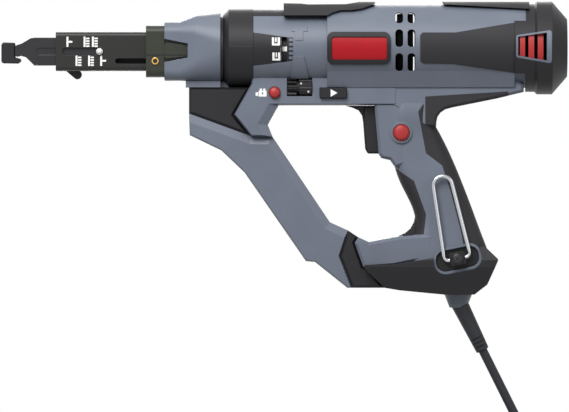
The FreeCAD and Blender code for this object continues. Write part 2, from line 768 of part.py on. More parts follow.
# Motor barrel, bridge, handle and toe of the two shells
BARREL_START = Vector(SEAM, 0, AXIS + mm.barrel_rise)
barrel_outer = rod("barrel_outer", "barrel_radius", "barrel_length", BARREL_START)
barrel_hollow = rod("barrel_hollow", "barrel_radius - shell_wall", "barrel_length + 2 * overrun",
                    Vector(SEAM - mm.overrun, 0, AXIS + mm.barrel_rise))
neck = bevelled("neck", spots(NECK_SHARES), mm.frame_half_width, mm.neck_bevel_depth, mm.small_chamfer,
                mm.neck_bevel, NECK_BEVEL_SIDES)
neck_hollow = prism("neck_hollow", inset(spots(NECK_SHARES), mm.shell_wall),
                    "2 * frame_half_width - 2 * shell_wall")
shroud = prism("shroud", spots(SHROUD_SHARES), "2 * shroud_half_width", 0.0, "edge_chamfer")
tail = prism("tail", spots(TAIL_SHARES), "2 * tail_half_width", 0.0, "edge_chamfer")
tail_hollow = prism("tail_hollow", inset(spots(TAIL_SHARES), mm.shell_wall),
                    "2 * tail_half_width - 2 * shell_wall")
skirt = bar("skirt", [(y * mm.barrel_radius, z * mm.barrel_radius) for y, z in SKIRT_SHARES], SEAM,
            "barrel_length")
toe = prism("toe", spots(TOE_SHARES), "2 * toe_half_width", 0.0, "edge_chamfer")
toe_hollow = prism("toe_hollow", inset(spots(TOE_SHARES), mm.shell_wall),
                   "2 * toe_half_width - 2 * shell_wall")


def handle_loft(label, inward):
    """Handle through its level sections, each moved inwards by a distance."""
    sections = []
    for height, front, back, wide in HANDLE_SHARES:
        front_x, level = spot(front, height)
        half = wide * mm.handle_half_width - inward
        points = rectangle(front_x + inward, back * mm.mouth_reach - inward, -half, half)
        sections.append((level, points, mm.handle_corner - inward))
    return lofted(label, sections, "XY_Plane")


handle = handle_loft("handle", 0.0)
handle_bed = handle_loft("handle_bed", mm.grip_thickness)
handle_hollow = handle_loft("handle_hollow", mm.grip_thickness + mm.shell_wall)
handle_skin = cut("handle_skin", handle, handle_bed)
rear_zone = prism("rear_zone", spots(REAR_GRIP_SHARES), "2 * base_half_width")
front_zone = prism("front_zone", spots(FRONT_GRIP_SHARES), "2 * base_half_width")
grip_foot_block = prism("grip_foot_block", spots(GRIP_FOOT_SHARES), "handle_half_width")
grip_foot = cut("grip_foot", grip_foot_block, handle_bed)

# Gear case cylinder, which the bridge is fitted under
CASE_START = Vector(COLLAR_REAR, 0, AXIS + mm.collar_rise)
case_outer = rod("case_outer", "cover_radius", "cover_length", CASE_START)
collar = turned("collar", [
    (COLLAR_FRONT, 0), (COLLAR_FRONT, mm.collar_radius - mm.collar_chamfer),
    (COLLAR_FRONT + mm.collar_chamfer, mm.collar_radius), (COLLAR_REAR, mm.collar_radius),
    (COLLAR_REAR, 0)], AXIS + mm.collar_rise)

# Outside of the rear cap, with the fingers of the shells let into its neck
cap_profile = [(BARREL_REAR, 0), (BARREL_REAR, mm.cap_neck_radius),
               (BARREL_REAR + mm.cap_neck_length, mm.cap_neck_radius),
               (BARREL_REAR + mm.cap_neck_length + mm.edge_chamfer, mm.cap_radius),
               (CAP_REAR - mm.cap_taper_length, mm.cap_radius), (CAP_REAR, mm.cap_end_radius), (CAP_REAR, 0)]
finger_outer = rod("finger_outer", "barrel_radius", "finger_length",
                   Vector(BARREL_REAR, 0, AXIS + mm.barrel_rise))
finger_inner = rod("finger_inner", "barrel_radius - shell_wall", "finger_length + 2 * overrun",
                   Vector(BARREL_REAR - mm.overrun, 0, AXIS + mm.barrel_rise))
gap_under, gap_over = FINGER_GAP_SHARES
gap_points = rectangle(BARREL_REAR - mm.overrun, CAP_REAR, AXIS + gap_under * mm.barrel_radius,
                       AXIS + gap_over * mm.barrel_radius)
finger_gap = prism("finger_gap", gap_points, "4 * cap_radius")
fingers = cut("fingers", finger_outer, finger_inner, finger_gap)
finger_span = block("finger_span", "finger_length", "4 * cap_radius", "4 * cap_radius",
                    Vector(BARREL_REAR, -2 * mm.cap_radius, AXIS - 2 * mm.cap_radius))
finger_room = cut("finger_room", finger_span, finger_gap)
cap_outer = cut("cap_outer", turned("cap_form", cap_profile, AXIS + mm.cap_rise), finger_room)

# Pads and badges on the barrel
pad_band = rod("pad_band", "barrel_radius + pad_rise", "barrel_length", BARREL_START)
pad_bed = rod("pad_bed", "barrel_radius - pad_depth", "barrel_length + 2 * overrun",
              Vector(SEAM - mm.overrun, 0, AXIS + mm.barrel_rise))
pad_zone = prism("pad_zone", beside(SEAM, mm.barrel_length, mm.barrel_radius, SIDE_PAD_SHARES),
                 "4 * barrel_radius")
side_pads = keep(cut("side_pads", common("pad_slabs", pad_band, pad_zone), pad_bed))
bezel_low, bezel_high, bezel_under, bezel_over = BEZEL_SHARES
badge_low, badge_high, badge_under, badge_over = BADGE_SHARES
bezel_points = rectangle(SEAM + bezel_low * mm.barrel_length, SEAM + bezel_high * mm.barrel_length,
                         AXIS + bezel_under * mm.barrel_radius, AXIS + bezel_over * mm.barrel_radius)
badge_points = rectangle(SEAM + badge_low * mm.barrel_length, SEAM + badge_high * mm.barrel_length,
                         AXIS + badge_under * mm.barrel_radius, AXIS + badge_over * mm.barrel_radius)
bezel_zone = prism("bezel_zone", bezel_points, "4 * barrel_radius", mm.outline_round)
badge_zone = prism("badge_zone", badge_points, "4 * barrel_radius", mm.edge_chamfer)
bezel_band = rod("bezel_band", "barrel_radius + bezel_rise", "barrel_length", BARREL_START)
badge_band = rod("badge_band", "barrel_radius + badge_rise", "barrel_length", BARREL_START)
keep(cut("badge_bezels", common("bezel_slabs", bezel_band, bezel_zone), pad_bed, badge_zone))
keep(cut("badge_plates", common("badge_slabs", badge_band, badge_zone), pad_bed))
top_band = rod("top_band", "barrel_radius + top_pad_rise", "barrel_length + cover_length + pad_overhang",
               Vector(COLLAR_REAR, 0, AXIS + mm.barrel_rise))
front_pad_zone = prism("front_pad_zone", beside(SEAM, mm.barrel_length, mm.barrel_radius, FRONT_PAD_SHARES),
                       "4 * barrel_radius")
back_pad_zone = prism("back_pad_zone", beside(SEAM, mm.barrel_length, mm.barrel_radius, BACK_PAD_SHARES),
                      "4 * barrel_radius")
keep(cut("top_pads", common("top_slabs", top_band, fuse("top_zones", front_pad_zone, back_pad_zone)),
         barrel_outer, case_outer, cap_outer, finger_outer))

# Vents on both sides of the barrel
vents = []
for column, (low, high) in enumerate(VENT_LENGTH_SHARES):
    for level, (under, over) in enumerate(VENT_HEIGHT_SHARES):
        vent_points = rectangle(SEAM + low * mm.barrel_length, SEAM + high * mm.barrel_length,
                                AXIS + under * mm.barrel_radius, AXIS + over * mm.barrel_radius)
        vents.append(prism(f"vent_{column}_{level}", vent_points, "4 * barrel_radius",
                           VENT_ROUND_SHARE * (high - low) * mm.barrel_length))

# Controls that pass through the shells
lock_x, lock_z = spot(*LOCK_SHARES)
reverse_x, reverse_z = spot(*REVERSE_SHARES)
release_x, release_z = spot(*RELEASE_SHARES)
lock_hole = rod("lock_hole", "lock_radius + running_gap", "frame_half_width",
                Vector(lock_x, -mm.frame_half_width - mm.lock_rise, lock_z), Vector(0, 1, 0))
lock_boss = rod("lock_boss", "lock_radius + running_gap + lock_rim", "frame_half_width",
                Vector(lock_x, -mm.handle_half_width - mm.lock_rim / 2, lock_z), Vector(0, 1, 0))
release_hole = rod("release_hole", "release_radius + running_gap", "frame_half_width + overrun",
                   Vector(release_x, -mm.frame_half_width - mm.overrun, release_z), Vector(0, 1, 0))
reverse_hole = block("reverse_hole", "reverse_length + 2 * running_gap", "4 * frame_half_width",
                     "reverse_height + 2 * running_gap",
                     Vector(reverse_x - mm.reverse_length / 2 - mm.running_gap, -2 * mm.frame_half_width,
                            reverse_z - mm.reverse_height / 2 - mm.running_gap))
wheel_start = Vector(DEPTH_GEAR_FRONT - mm.running_gap, WHEEL_Y, WHEEL_Z)
wheel_pocket = rod("wheel_pocket", WHEEL_POCKET, POCKET_LENGTH, wheel_start)
wheel_axle = rod("wheel_axle", "wheel_pin", POCKET_LENGTH, wheel_start)
wheel_space = cut("wheel_space", wheel_pocket, wheel_axle)
wheel_cradle = rod("wheel_cradle", WHEEL_POCKET + " + shell_wall", POCKET_LENGTH + " + 2 * shell_wall",
                   wheel_start - Vector(mm.shell_wall, 0, 0))
trigger_points = spots(TRIGGER_SHARES)
lip_points = spots(LIP_SHARES)
trigger_low_x = min(x for x, z in lip_points)
trigger_high_x = max(x for x, z in trigger_points)
trigger_low_z = min(z for x, z in trigger_points)
trigger_high_z = max(z for x, z in trigger_points)
trigger_way = prism("trigger_way", rectangle(trigger_low_x - mm.overrun,
                                             trigger_high_x + mm.trigger_travel + mm.overrun,
                                             trigger_low_z - mm.running_gap, trigger_high_z + mm.running_gap),
                    "2 * trigger_half_width + 2 * running_gap")

switch_x, switch_z = spot(*SWITCH_SHARES)
switch_box = block("switch_box", "switch_length", "2 * switch_half_width", "switch_height",
                   Vector(switch_x, -mm.switch_half_width, switch_z))

# Screws through both shells, heads on the right
bosses, screws, screw_holes = [], [], []
for index, (along, above, breadth) in enumerate(HOUSING_SCREWS + ARM_SCREWS):
    x, z = spot(along, above)
    half = getattr(mm, breadth)
    head_start = Vector(x, half - mm.head_length - mm.edge_chamfer, z)
    bosses.append(rod(f"boss_{index}", "boss_radius", f"2 * {breadth} - shell_wall",
                      Vector(x, mm.shell_wall / 2 - half, z), Vector(0, 1, 0)))
    shank = rod(f"shank_{index}", "shank_radius",
                f"2 * {breadth} - head_length - edge_chamfer - 2 * shell_wall",
                Vector(x, 2 * mm.shell_wall - half, z), Vector(0, 1, 0))
    head = rod(f"head_{index}", "head_radius", "head_length", head_start, Vector(0, 1, 0))
    screws.append(fuse(f"screw_{index}", shank, head))
    well = rod(f"well_{index}", "head_radius", "frame_half_width", head_start, Vector(0, 1, 0))
    screw_holes.append(fuse(f"screw_hole_{index}", shank, well))
first_arm_screw = len(HOUSING_SCREWS)

# Ribs in the barrel that hold the stator
STATOR_FRONT = SEAM + mm.barrel_length * STATOR_SHARE + mm.rib_length
STATOR_REAR = STATOR_FRONT + mm.stator_length
ribs = []
for index, station in enumerate((STATOR_FRONT, STATOR_REAR - mm.rib_length)):
    ribs.append(rod(f"rib_{index}", "barrel_radius - shell_wall + shaft_gap", "rib_length",
                    Vector(station, 0, AXIS + mm.barrel_rise)))
stator_seat = rod("stator_seat", "stator_radius", "barrel_length", Vector(SEAM, 0, AXIS))

# Belt hook recess, in the hook's own upright frame
hook_x, hook_z = spot(*HOOK_SHARES)
hook_place = Placement(Vector(hook_x, 0, hook_z), Rotation(Vector(0, 1, 0), -HOOK_LEAN))
recess_round = mm.recess_half_height * FULL_ROUND_SHARE
recess = prism("recess", round_box(mm.recess_half_length, mm.recess_half_height), "2 * base_half_width",
               recess_round)
recess.Placement = hook_place.multiply(
    Placement(Vector(0, -mm.recess_floor - mm.base_half_width, 0), Rotation()))
hook_way = block("hook_way", "2 * hook_half_span + 4 * hook_wire", "2 * base_half_width", "hook_height",
                 Vector(0, 0, 0))
hook_way.Placement = hook_place.multiply(Placement(
    Vector(-mm.hook_half_span - 2 * mm.hook_wire,
           mm.hook_wire + mm.running_gap - mm.hook_depth - 2 * mm.base_half_width, 0), Rotation()))

# The grips and the two housing shells
tail_zone = prism("tail_zone", spots(TAIL_GRIP_SHARES), "2 * base_half_width")
tail_skin = cut("tail_skin", common("tail_strip", tail, tail_zone), tail_hollow, handle_bed, barrel_outer)
rear_grip_skin = common("rear_grip_skin", handle_skin, rear_zone)
rear_grip_back = cut("rear_grip_back", rear_grip_skin, neck, tail, barrel_outer)
rear_grip_core = fuse("rear_grip_core", tail_skin, rear_grip_back)
front_skin = common("front_grip_skin", handle_skin, front_zone)
front_grip = keep(cut("front_grip", fuse("front_grip_core", front_skin, grip_foot), shroud, toe))
frame_outer = fuse("frame_outer", barrel_outer, fingers, skirt, neck, shroud, tail, toe, handle, lock_boss)
frame_hollow = fuse("frame_hollow", barrel_hollow, neck_hollow, tail_hollow, toe_hollow, handle_hollow)
rib_rings = cut("rib_rings", fuse("rib_discs", *ribs), stator_seat)
frame_room = cut("frame_room", frame_hollow, rib_rings, wheel_cradle, *bosses[:first_arm_screw])
badge_inlay = common("badge_inlay", fuse("badge_zones", bezel_zone, badge_zone),
                     cut("badge_ring", bezel_band, pad_bed))
frame_shell = cut("frame_shell", frame_outer, frame_room, case_outer, collar, rear_grip_core, front_grip,
                  side_pads, badge_inlay, *vents, lock_hole, release_hole, reverse_hole, wheel_space,
                  trigger_way, recess, hook_way, switch_box, cap_outer, *screw_holes[:first_arm_screw])
keep(common("housing_left", frame_shell, left_side))
keep(common("housing_right", frame_shell, right_side))
keep(cut("rear_grip", rear_grip_core, recess, hook_way, *screw_holes[:first_arm_screw]))

# Inside of the rear cap and its louvred windows
cap_inner = turned("cap_inner", [
    (BARREL_REAR - mm.overrun, 0), (BARREL_REAR - mm.overrun, mm.cap_neck_radius - mm.cap_wall),
    (CAP_REAR - mm.cap_taper_length - mm.cap_wall, mm.cap_neck_radius - mm.cap_wall),
    (CAP_REAR - mm.cap_wall, mm.cap_end_radius - mm.cap_wall),
    (CAP_REAR - mm.cap_wall, 0)], AXIS + mm.cap_rise)
REAR_BEARING = CAP_REAR - mm.cap_wall - mm.motor_bearing_length
bearing_boss = rod("bearing_boss", "motor_bearing_radius + cap_wall", "motor_bearing_length + overrun",
                   Vector(REAR_BEARING, 0, AXIS))
bearing_seat = rod("bearing_seat", "motor_bearing_radius", "motor_bearing_length",
                   Vector(REAR_BEARING, 0, AXIS))
window_points = beside(BARREL_REAR, mm.cap_length, mm.cap_radius, WINDOW_SHARES)
window = prism("window", window_points, "4 * cap_radius", mm.edge_chamfer)
cap_room = cut("cap_room", cap_inner, bearing_boss)
keep(cut("rear_cap", cap_outer, cap_room, bearing_seat, window))
louvre_band = cut("louvre_band", cap_outer, turned("louvre_floor", [
    (BARREL_REAR - mm.overrun, 0), (BARREL_REAR - mm.overrun, mm.cap_neck_radius - mm.louvre_depth),
    (CAP_REAR, mm.cap_neck_radius - mm.louvre_depth), (CAP_REAR, 0)], AXIS + mm.cap_rise))
louvre_opening = prism("louvre_opening", inset(window_points, mm.louvre_rim), "4 * cap_radius")
thin_rim = cut("thin_rim", window, louvre_opening)


def window_strip(label, start_share, end_share):
    """Upright strip across the louvred window, between shares of the cap's length."""
    points = beside(BARREL_REAR, mm.cap_length, mm.cap_radius,
                    rectangle(start_share, end_share, -1, 1))
    return prism(label, points, "4 * cap_radius")


slats = [window_strip(f"slat_{index}", low, high) for index, (low, high) in enumerate(SLAT_SHARES)]
rear_rim = common("rear_rim", window, window_strip("rear_rim_zone", REAR_RIM_SHARE, 1))
louvre_rim = fuse("louvre_rim", thin_rim, rear_rim)
keep(common("louvre_frames", louvre_band, louvre_rim))
slat_set = cut("slat_set", common("slat_bars_in", fuse("slat_bars", *slats), window), louvre_rim)
CAP_START = Vector(BARREL_REAR, 0, AXIS + mm.cap_rise)
slat_outer = rod("slat_outer", "cap_neck_radius - louvre_sink", "cap_length", CAP_START)
slat_inner = rod("slat_inner", "cap_neck_radius - louvre_depth", "cap_length", CAP_START)
keep(common("rear_louvres", slat_set, cut("slat_band", slat_outer, slat_inner)))

# Gear covers inlaid in the sides of the gear case
cover_zone = prism("cover_zone", beside(SEAM, -mm.cover_length, mm.cover_radius, COVER_SHARES),
                   "4 * cover_radius")
cover_bed = rod("cover_bed", "cover_radius - cover_thickness", "cover_length + 2 * overrun",
                CASE_START - Vector(mm.overrun, 0, 0))
covers = common("covers", cut("cover_ring", case_outer, cover_bed), cover_zone)
rib_zone = prism("rib_zone", beside(SEAM, -mm.cover_length, mm.cover_radius, COVER_RIB_SHARES),
                 "4 * cover_radius")
rib_outer = rod("rib_outer", "cover_radius + cover_rib", "cover_length", CASE_START)
rib_band = cut("rib_band", rib_outer, case_outer)
cover_ribs = cut("cover_ribs", common("rib_slabs", rib_band, rib_zone), neck)
keep(cut("gear_covers", fuse("ribbed_covers", covers, cover_ribs), wheel_pocket))

# Gear case and its chambers
CASE_REACH = ("cover_length + collar_length + ring_length - motor_bearing_length - shell_wall - gear_width - "
              "carrier_length - bearing_length - case_front_wall - 3 * gear_side_gap")
case_bore = rod("case_bore", "case_bore", CASE_REACH + " + overrun", Vector(CONE_REAR - mm.overrun, 0, AXIS))
spindle_hole = rod("spindle_hole", "spindle_journal + gear_side_gap", "case_front_wall + 2 * overrun",
                   Vector(CASE_WALL_FRONT - mm.overrun, 0, AXIS))
bearing_room = rod("bearing_room", "bearing_radius", "bearing_length", Vector(BEARING_FRONT, 0, AXIS))
gear_room = rod("gear_room", "ring_gear_radius", "gear_width + carrier_length + 4 * gear_side_gap",
                Vector(BEARING_REAR, 0, AXIS))
motor_seat = rod("motor_seat", "motor_bearing_radius", "motor_bearing_length + overrun",
                 Vector(MOTOR_BEARING, 0, AXIS))
shaft_hole = rod("shaft_hole", "motor_shaft + gear_side_gap", "cover_length",
                 Vector(GEARS_REAR - mm.overrun, 0, AXIS))
DEPTH_TIP = DEPTH_RING_PITCH + ADDENDUM_SHARE * mm.depth_module
depth_groove = turned("depth_groove", [
    (DEPTH_FRONT - mm.running_gap, mm.depth_ring_inner - mm.running_gap),
    (DEPTH_FRONT - mm.running_gap, DEPTH_TIP + mm.running_gap),
    (DEPTH_REAR + mm.running_gap, DEPTH_TIP + mm.running_gap),
    (DEPTH_REAR + mm.running_gap, mm.depth_ring_inner - mm.running_gap)])
window_under, window_over = DEPTH_WINDOW_SHARES
depth_window = prism("depth_window", rectangle(
    DEPTH_FRONT + mm.running_gap, DEPTH_GEAR_FRONT - mm.running_gap,
    AXIS + window_under * DEPTH_TIP, AXIS + window_over * DEPTH_TIP), "4 * cover_radius", mm.edge_chamfer / 2)
window_floor = rod("window_floor", "depth_ring_inner", "4 * cover_radius", Vector(COLLAR_FRONT, 0, AXIS))
window_reach = cut("window_reach", depth_window, window_floor)
ring_outer = rod("ring_outer", "ring_radius", "ring_length", Vector(CONE_REAR, 0, AXIS + mm.collar_rise / 2))
case_body = fuse("case_body", case_outer, collar, ring_outer)
keep(cut("gear_case", case_body, covers, case_bore, spindle_hole, bearing_room, gear_room, motor_seat,
         shaft_hole, depth_groove, window_reach, wheel_pocket))

# Ring, cone and slide holder
rear_centre = AXIS + mm.collar_rise
rear_points = rectangle(-mm.cone_rear_radius, mm.cone_rear_radius, rear_centre - mm.cone_rear_radius,
                        rear_centre + mm.cone_rear_radius)
middle_points = rectangle(-mm.cone_half_width, mm.cone_half_width, AXIS - mm.cone_half_height,
                          AXIS + mm.cone_half_height)
swell, swell_width, swell_over, swell_under, swell_corner = SWELL_SHARES
swell_points = rectangle(-swell_width * mm.cone_rear_radius, swell_width * mm.cone_rear_radius,
                         AXIS + swell_under * mm.cone_rear_radius, AXIS + swell_over * mm.cone_rear_radius)
cone_shape = lofted("cone_shape", [
    (CONE_FRONT, middle_points, mm.cone_corner),
    (CONE_FRONT + CONE_STRAIGHT_SHARE * mm.cone_length, middle_points, mm.cone_corner),
    (CONE_FRONT + swell * mm.cone_length, swell_points, swell_corner * mm.cone_rear_radius),
    (CONE_REAR, rear_points, CONE_ROUND_SHARE * mm.cone_rear_radius)], "YZ_Plane")
cone_shape.Tip.Ruled = True
saddle_low, saddle_high = SADDLE_SHARES
guard_top = GUARD_SHARES[0][1] * mm.axis_height
saddle_tail = prism("saddle_tail", rectangle(CONE_REAR - mm.ring_length, COLLAR_FRONT + mm.collar_chamfer,
                                             guard_top, AXIS - mm.case_bore), "saddle_half_width")
saddle = prism("saddle", rectangle(CONE_REAR - saddle_low * mm.cone_length, CONE_REAR, guard_top,
                                   AXIS - mm.case_bore), "2 * saddle_half_width")
fork_points = beside(CONE_FRONT - mm.overrun, mm.cone_length, mm.cone_half_height, FORK_SHARES)
fork = prism("fork", fork_points, "4 * cone_half_width")
sleeve_room = box_tube("sleeve_room", mm.sleeve_half_width, mm.sleeve_half_height, mm.holder_corner,
                       CONE_FRONT - mm.overrun, "sleeve_length + overrun")
cone_bore = rod("cone_bore", "case_bore", "cone_length", Vector(CONE_FRONT + mm.sleeve_length, 0, AXIS))
tongues = prism("tongues", beside(CONE_FRONT, mm.cone_length, mm.cone_half_height, TONGUE_SHARES),
                "2 * sleeve_half_width + 2 * tongue_rise", mm.edge_chamfer)
cone_body = fuse("cone_body", cone_shape, saddle, saddle_tail)
keep(cut("front_cone", cone_body, sleeve_room, cone_bore, fork, tongues, collar, ring_outer))
flange = box_tube("flange", mm.holder_half_width, mm.holder_half_height, mm.holder_corner, HOLDER_FRONT,
                  "holder_length")
sleeve = box_tube("sleeve", mm.sleeve_half_width, mm.sleeve_half_height, mm.holder_corner, CONE_FRONT,
                  "sleeve_length")
slide_way = box_tube("slide_way", mm.slide_half_width + mm.running_gap, mm.slide_half_height + mm.running_gap,
                     mm.slide_corner + mm.running_gap, HOLDER_FRONT - mm.overrun,
                     "holder_length + sleeve_length + 2 * overrun")
PIN_X = SLIDE_FRONT + SIZE_PIN_SHARE * mm.slide_reach
pin_half = mm.size_pin_radius + mm.running_gap
LEFT_FACE = Vector(0, -mm.slide_half_width, 0)
way_points = rectangle(HOLDER_FRONT - mm.overrun, PIN_X + mm.slide_stroke + pin_half, AXIS - pin_half,
                       AXIS + pin_half)
pin_way = prism("pin_way", way_points, "2 * size_pin_travel", shift=LEFT_FACE)
STOP_X = CONE_FRONT + mm.sleeve_length * STOP_SHARE
STOP_Z = AXIS - mm.stop_slot_drop
screw_x = HOLDER_FRONT + SCREW_PLACE_SHARE * mm.holder_length
holder_screws = []
for side in (-1, 1):
    out = Vector(0, side, 0)
    head = rod(f"holder_head_{side + 1}", "screw_radius", "screw_head",
               Vector(screw_x, side * mm.holder_half_width, STOP_Z), out)
    shank = rod(f"holder_shank_{side + 1}", "screw_shank",
                "holder_half_width - slide_half_width - 3 * running_gap",
                Vector(screw_x, side * mm.holder_half_width, STOP_Z), out * -1)
    holder_screws.append(fuse(f"holder_screw_{side + 1}", head, shank))
keep(group("holder_screws", *holder_screws))
stop_pin = keep(rod("stop_pin", "stop_pin_radius", "sleeve_half_width - slide_half_width + slide_wall",
                    Vector(STOP_X, -mm.sleeve_half_width, STOP_Z), Vector(0, 1, 0)))
holder_body = fuse("holder_body", flange, sleeve, tongues)
keep(cut("slide_holder", holder_body, slide_way, pin_way, stop_pin, *holder_screws))

# Feed slide
slide_outer = box_tube("slide_outer", mm.slide_half_width, mm.slide_half_height, mm.slide_corner, SLIDE_FRONT,
                       "slide_length")
slide_room = box_tube("slide_room", mm.slide_half_width - mm.slide_wall, mm.slide_half_height - mm.slide_wall,
                      mm.slide_corner / 2, SLIDE_FRONT - mm.overrun, "slide_length - slide_back + overrun")
slide_eye = rod("slide_eye", "spindle_nose_radius + 2 * running_gap", "slide_back + 2 * overrun",
                Vector(SLIDE_REAR - mm.slide_back - mm.overrun, 0, AXIS))
slot_half = mm.stop_pin_radius + mm.running_gap
SLOT_FRONT = STOP_X - mm.slide_stroke - slot_half - mm.running_gap - mm.slot_spare
stop_points = rectangle(SLOT_FRONT, STOP_X + slot_half, STOP_Z - slot_half, STOP_Z + slot_half)
stop_slot = prism("stop_slot", stop_points, "slide_half_width", slot_half * FULL_ROUND_SHARE, shift=LEFT_FACE)
size_points = rectangle(PIN_X - mm.nose_travel - pin_half, PIN_X + pin_half, AXIS - pin_half, AXIS + pin_half)
size_slot = prism("size_slot", size_points, "slide_half_width", pin_half * FULL_ROUND_SHARE, shift=LEFT_FACE)
strip_start, strip_share = STRIP_SLOT_SHARES
strip_slot = block("strip_slot", f"{strip_share} * slide_reach", "2 * strip_half_width",
                   "4 * slide_half_height", Vector(SLIDE_FRONT + strip_start * mm.slide_reach,
                                                   -mm.strip_half_width, AXIS - 2 * mm.slide_half_height))
SPROCKET_X = SLIDE_FRONT + SPROCKET_SHARE * mm.slide_reach
POD_LENGTH = "sprocket_length + 2 * running_gap + 2 * pod_wall"
pod_start = Vector(SPROCKET_X - mm.running_gap - mm.pod_wall, mm.sprocket_offset, AXIS)
pod = rod("pod", "sprocket_radius + running_gap + pod_wall", POD_LENGTH, pod_start)
pod_room = rod("pod_room", "sprocket_radius + running_gap", "sprocket_length + 2 * running_gap",
               Vector(SPROCKET_X - mm.running_gap, mm.sprocket_offset, AXIS))
pod_keep = block("pod_keep", "slide_reach", "slide_half_width", "4 * slide_half_height",
                 Vector(SLIDE_FRONT, mm.slide_half_width - mm.slide_wall, AXIS - 2 * mm.slide_half_height))
sprocket_pin = rod("sprocket_pin", "pin_radius", POD_LENGTH, pod_start)
pod_shell = common("pod_shell", pod, pod_keep)
pod_side = block("pod_side", "slide_reach", "2 * sprocket_radius", "4 * slide_half_height",
                 Vector(SLIDE_FRONT, mm.sprocket_offset - mm.sprocket_radius,
                        AXIS - 2 * mm.slide_half_height))
pod_ends = cut("pod_ends", common("pod_body", pod, slide_outer, pod_side), pod_room)
LEVER_X = SLIDE_FRONT + LEVER_SHARE * mm.slide_reach
LEVER_Z = AXIS - mm.slide_half_height + mm.pin_radius
lever_gap = block("lever_gap", "lever_length + 3 * lever_half_height", "lever_thickness + 2 * running_gap",
                  "2 * slide_wall + 2 * overrun",
                  Vector(LEVER_X - mm.lever_half_height - mm.running_gap - mm.pin_radius,
                         mm.strip_half_width + mm.pod_wall - mm.running_gap,
                         AXIS - mm.slide_half_height - mm.overrun))
lever_pin = rod("lever_pin", "pin_radius / 2", "lever_thickness + 2 * pod_wall",
                Vector(LEVER_X, mm.strip_half_width, LEVER_Z), Vector(0, 1, 0))
slide_with_pod = fuse("slide_with_pod", slide_outer, pod_shell)
slide_shell = cut("slide_shell", slide_with_pod, slide_room, pod_room, slide_eye, stop_slot, size_slot,
                  strip_slot, lever_gap)
keep(fuse("feed_slide", slide_shell, pod_ends, sprocket_pin, lever_pin))
keep(spring("return_spring", mm.spring_radius, mm.spring_wire,
            Vector(SLIDE_REAR + mm.spring_wire + mm.shaft_gap, 0, AXIS),
            CASE_WALL_FRONT - SLIDE_REAR - 2 * mm.spring_wire - 2 * mm.shaft_gap, SPRING_TURNS))
star = []
for tooth in range(2 * SPROCKET_TEETH):
    reach = mm.sprocket_radius if tooth % 2 else mm.sprocket_radius * SPROCKET_ROOT_SHARE
    turn = math.pi * tooth / SPROCKET_TEETH
    star.append((reach * math.cos(turn), reach * math.sin(turn)))
sprocket_wheel = bar("sprocket_wheel", star, SPROCKET_X, "sprocket_length", mm.sprocket_offset)
sprocket_bore = rod("sprocket_bore", "pin_radius + shaft_gap", "sprocket_length + 2 * overrun",
                    Vector(SPROCKET_X - mm.overrun, mm.sprocket_offset, AXIS))
keep(cut("feed_sprocket", sprocket_wheel, sprocket_bore))
lever_points = rectangle(-mm.lever_half_height, mm.lever_length, -mm.lever_half_height, mm.lever_half_height)
lever_plate = prism("lever_plate", lever_points, "lever_thickness", mm.lever_half_height * FULL_ROUND_SHARE)
lever_plate.Placement = Placement(
    Vector(LEVER_X, mm.strip_half_width + mm.pod_wall + mm.lever_thickness / 2, LEVER_Z),
    Rotation(Vector(0, 1, 0), LEVER_LEAN))
lever_bore = rod("lever_bore", "pin_radius / 2 + shaft_gap", "lever_thickness + 4 * pod_wall",
                 Vector(LEVER_X, mm.strip_half_width - mm.pod_wall, LEVER_Z), Vector(0, 1, 0))
keep(cut("strip_lever", lever_plate, lever_bore))

# Nosepiece, its tip and the size pin
LEG_FACE = mm.slide_half_width - mm.slide_wall - mm.running_gap
leg = block("leg", f"leg_front + {LEG_SHARE} * slide_reach", "leg_thickness", "2 * leg_half_height",
            Vector(LEG_FRONT, -LEG_FACE, AXIS - mm.leg_half_height))
short_leg = block("short_leg", "leg_front - 2 * running_gap", "leg_thickness", "2 * leg_half_height",
                  Vector(LEG_FRONT, LEG_FACE - mm.leg_thickness, AXIS - mm.leg_half_height))
neck_points = beside(TIP_REAR, mm.nose_neck_length, mm.leg_half_height, NOSE_NECK_SHARES)
nose_neck = prism("nose_neck", neck_points, "2 * slide_half_width - 2 * slide_wall - 2 * running_gap",
                  mm.edge_chamfer)
nose_hole = rod("nose_hole", "nose_bore", "nose_neck_length + tip_length + leg_front",
                Vector(TIP_FRONT - mm.overrun, 0, AXIS))
pin_hole = rod("pin_hole", "size_pin_radius / 2 + shaft_gap", "slide_half_width",
               Vector(PIN_X, -mm.slide_half_width, AXIS), Vector(0, 1, 0))
groove_points = rectangle(LEG_FRONT + mm.edge_chamfer, SLIDE_FRONT + mm.edge_chamfer,
                          AXIS - mm.groove_half_height, AXIS + mm.groove_half_height)
leg_groove = prism("leg_groove", groove_points, "2 * groove_depth", mm.groove_half_height * FULL_ROUND_SHARE,
                   shift=Vector(0, -LEG_FACE, 0))
keep(cut("nosepiece", fuse("nose_body", leg, short_leg, nose_neck), nose_hole, pin_hole, leg_groove))
tip_points = beside(TIP_FRONT, mm.tip_length, mm.tip_half_height, TIP_SHARES)
tip_block = prism("tip_block", tip_points, "2 * tip_half_width", mm.small_chamfer, "tip_chamfer")
keep(cut("nose_tip", tip_block, nose_hole))
pin_head = rod("pin_head", "size_pin_radius", "slide_wall - running_gap",
               Vector(PIN_X, -mm.slide_half_width - mm.size_pin_travel + mm.running_gap, AXIS),
               Vector(0, 1, 0))
pin_stem = rod("pin_stem", "size_pin_radius / 2", "slide_wall + running_gap + leg_thickness",
               Vector(PIN_X, -mm.slide_half_width, AXIS), Vector(0, 1, 0))
keep(fuse("size_pin", pin_head, pin_stem))

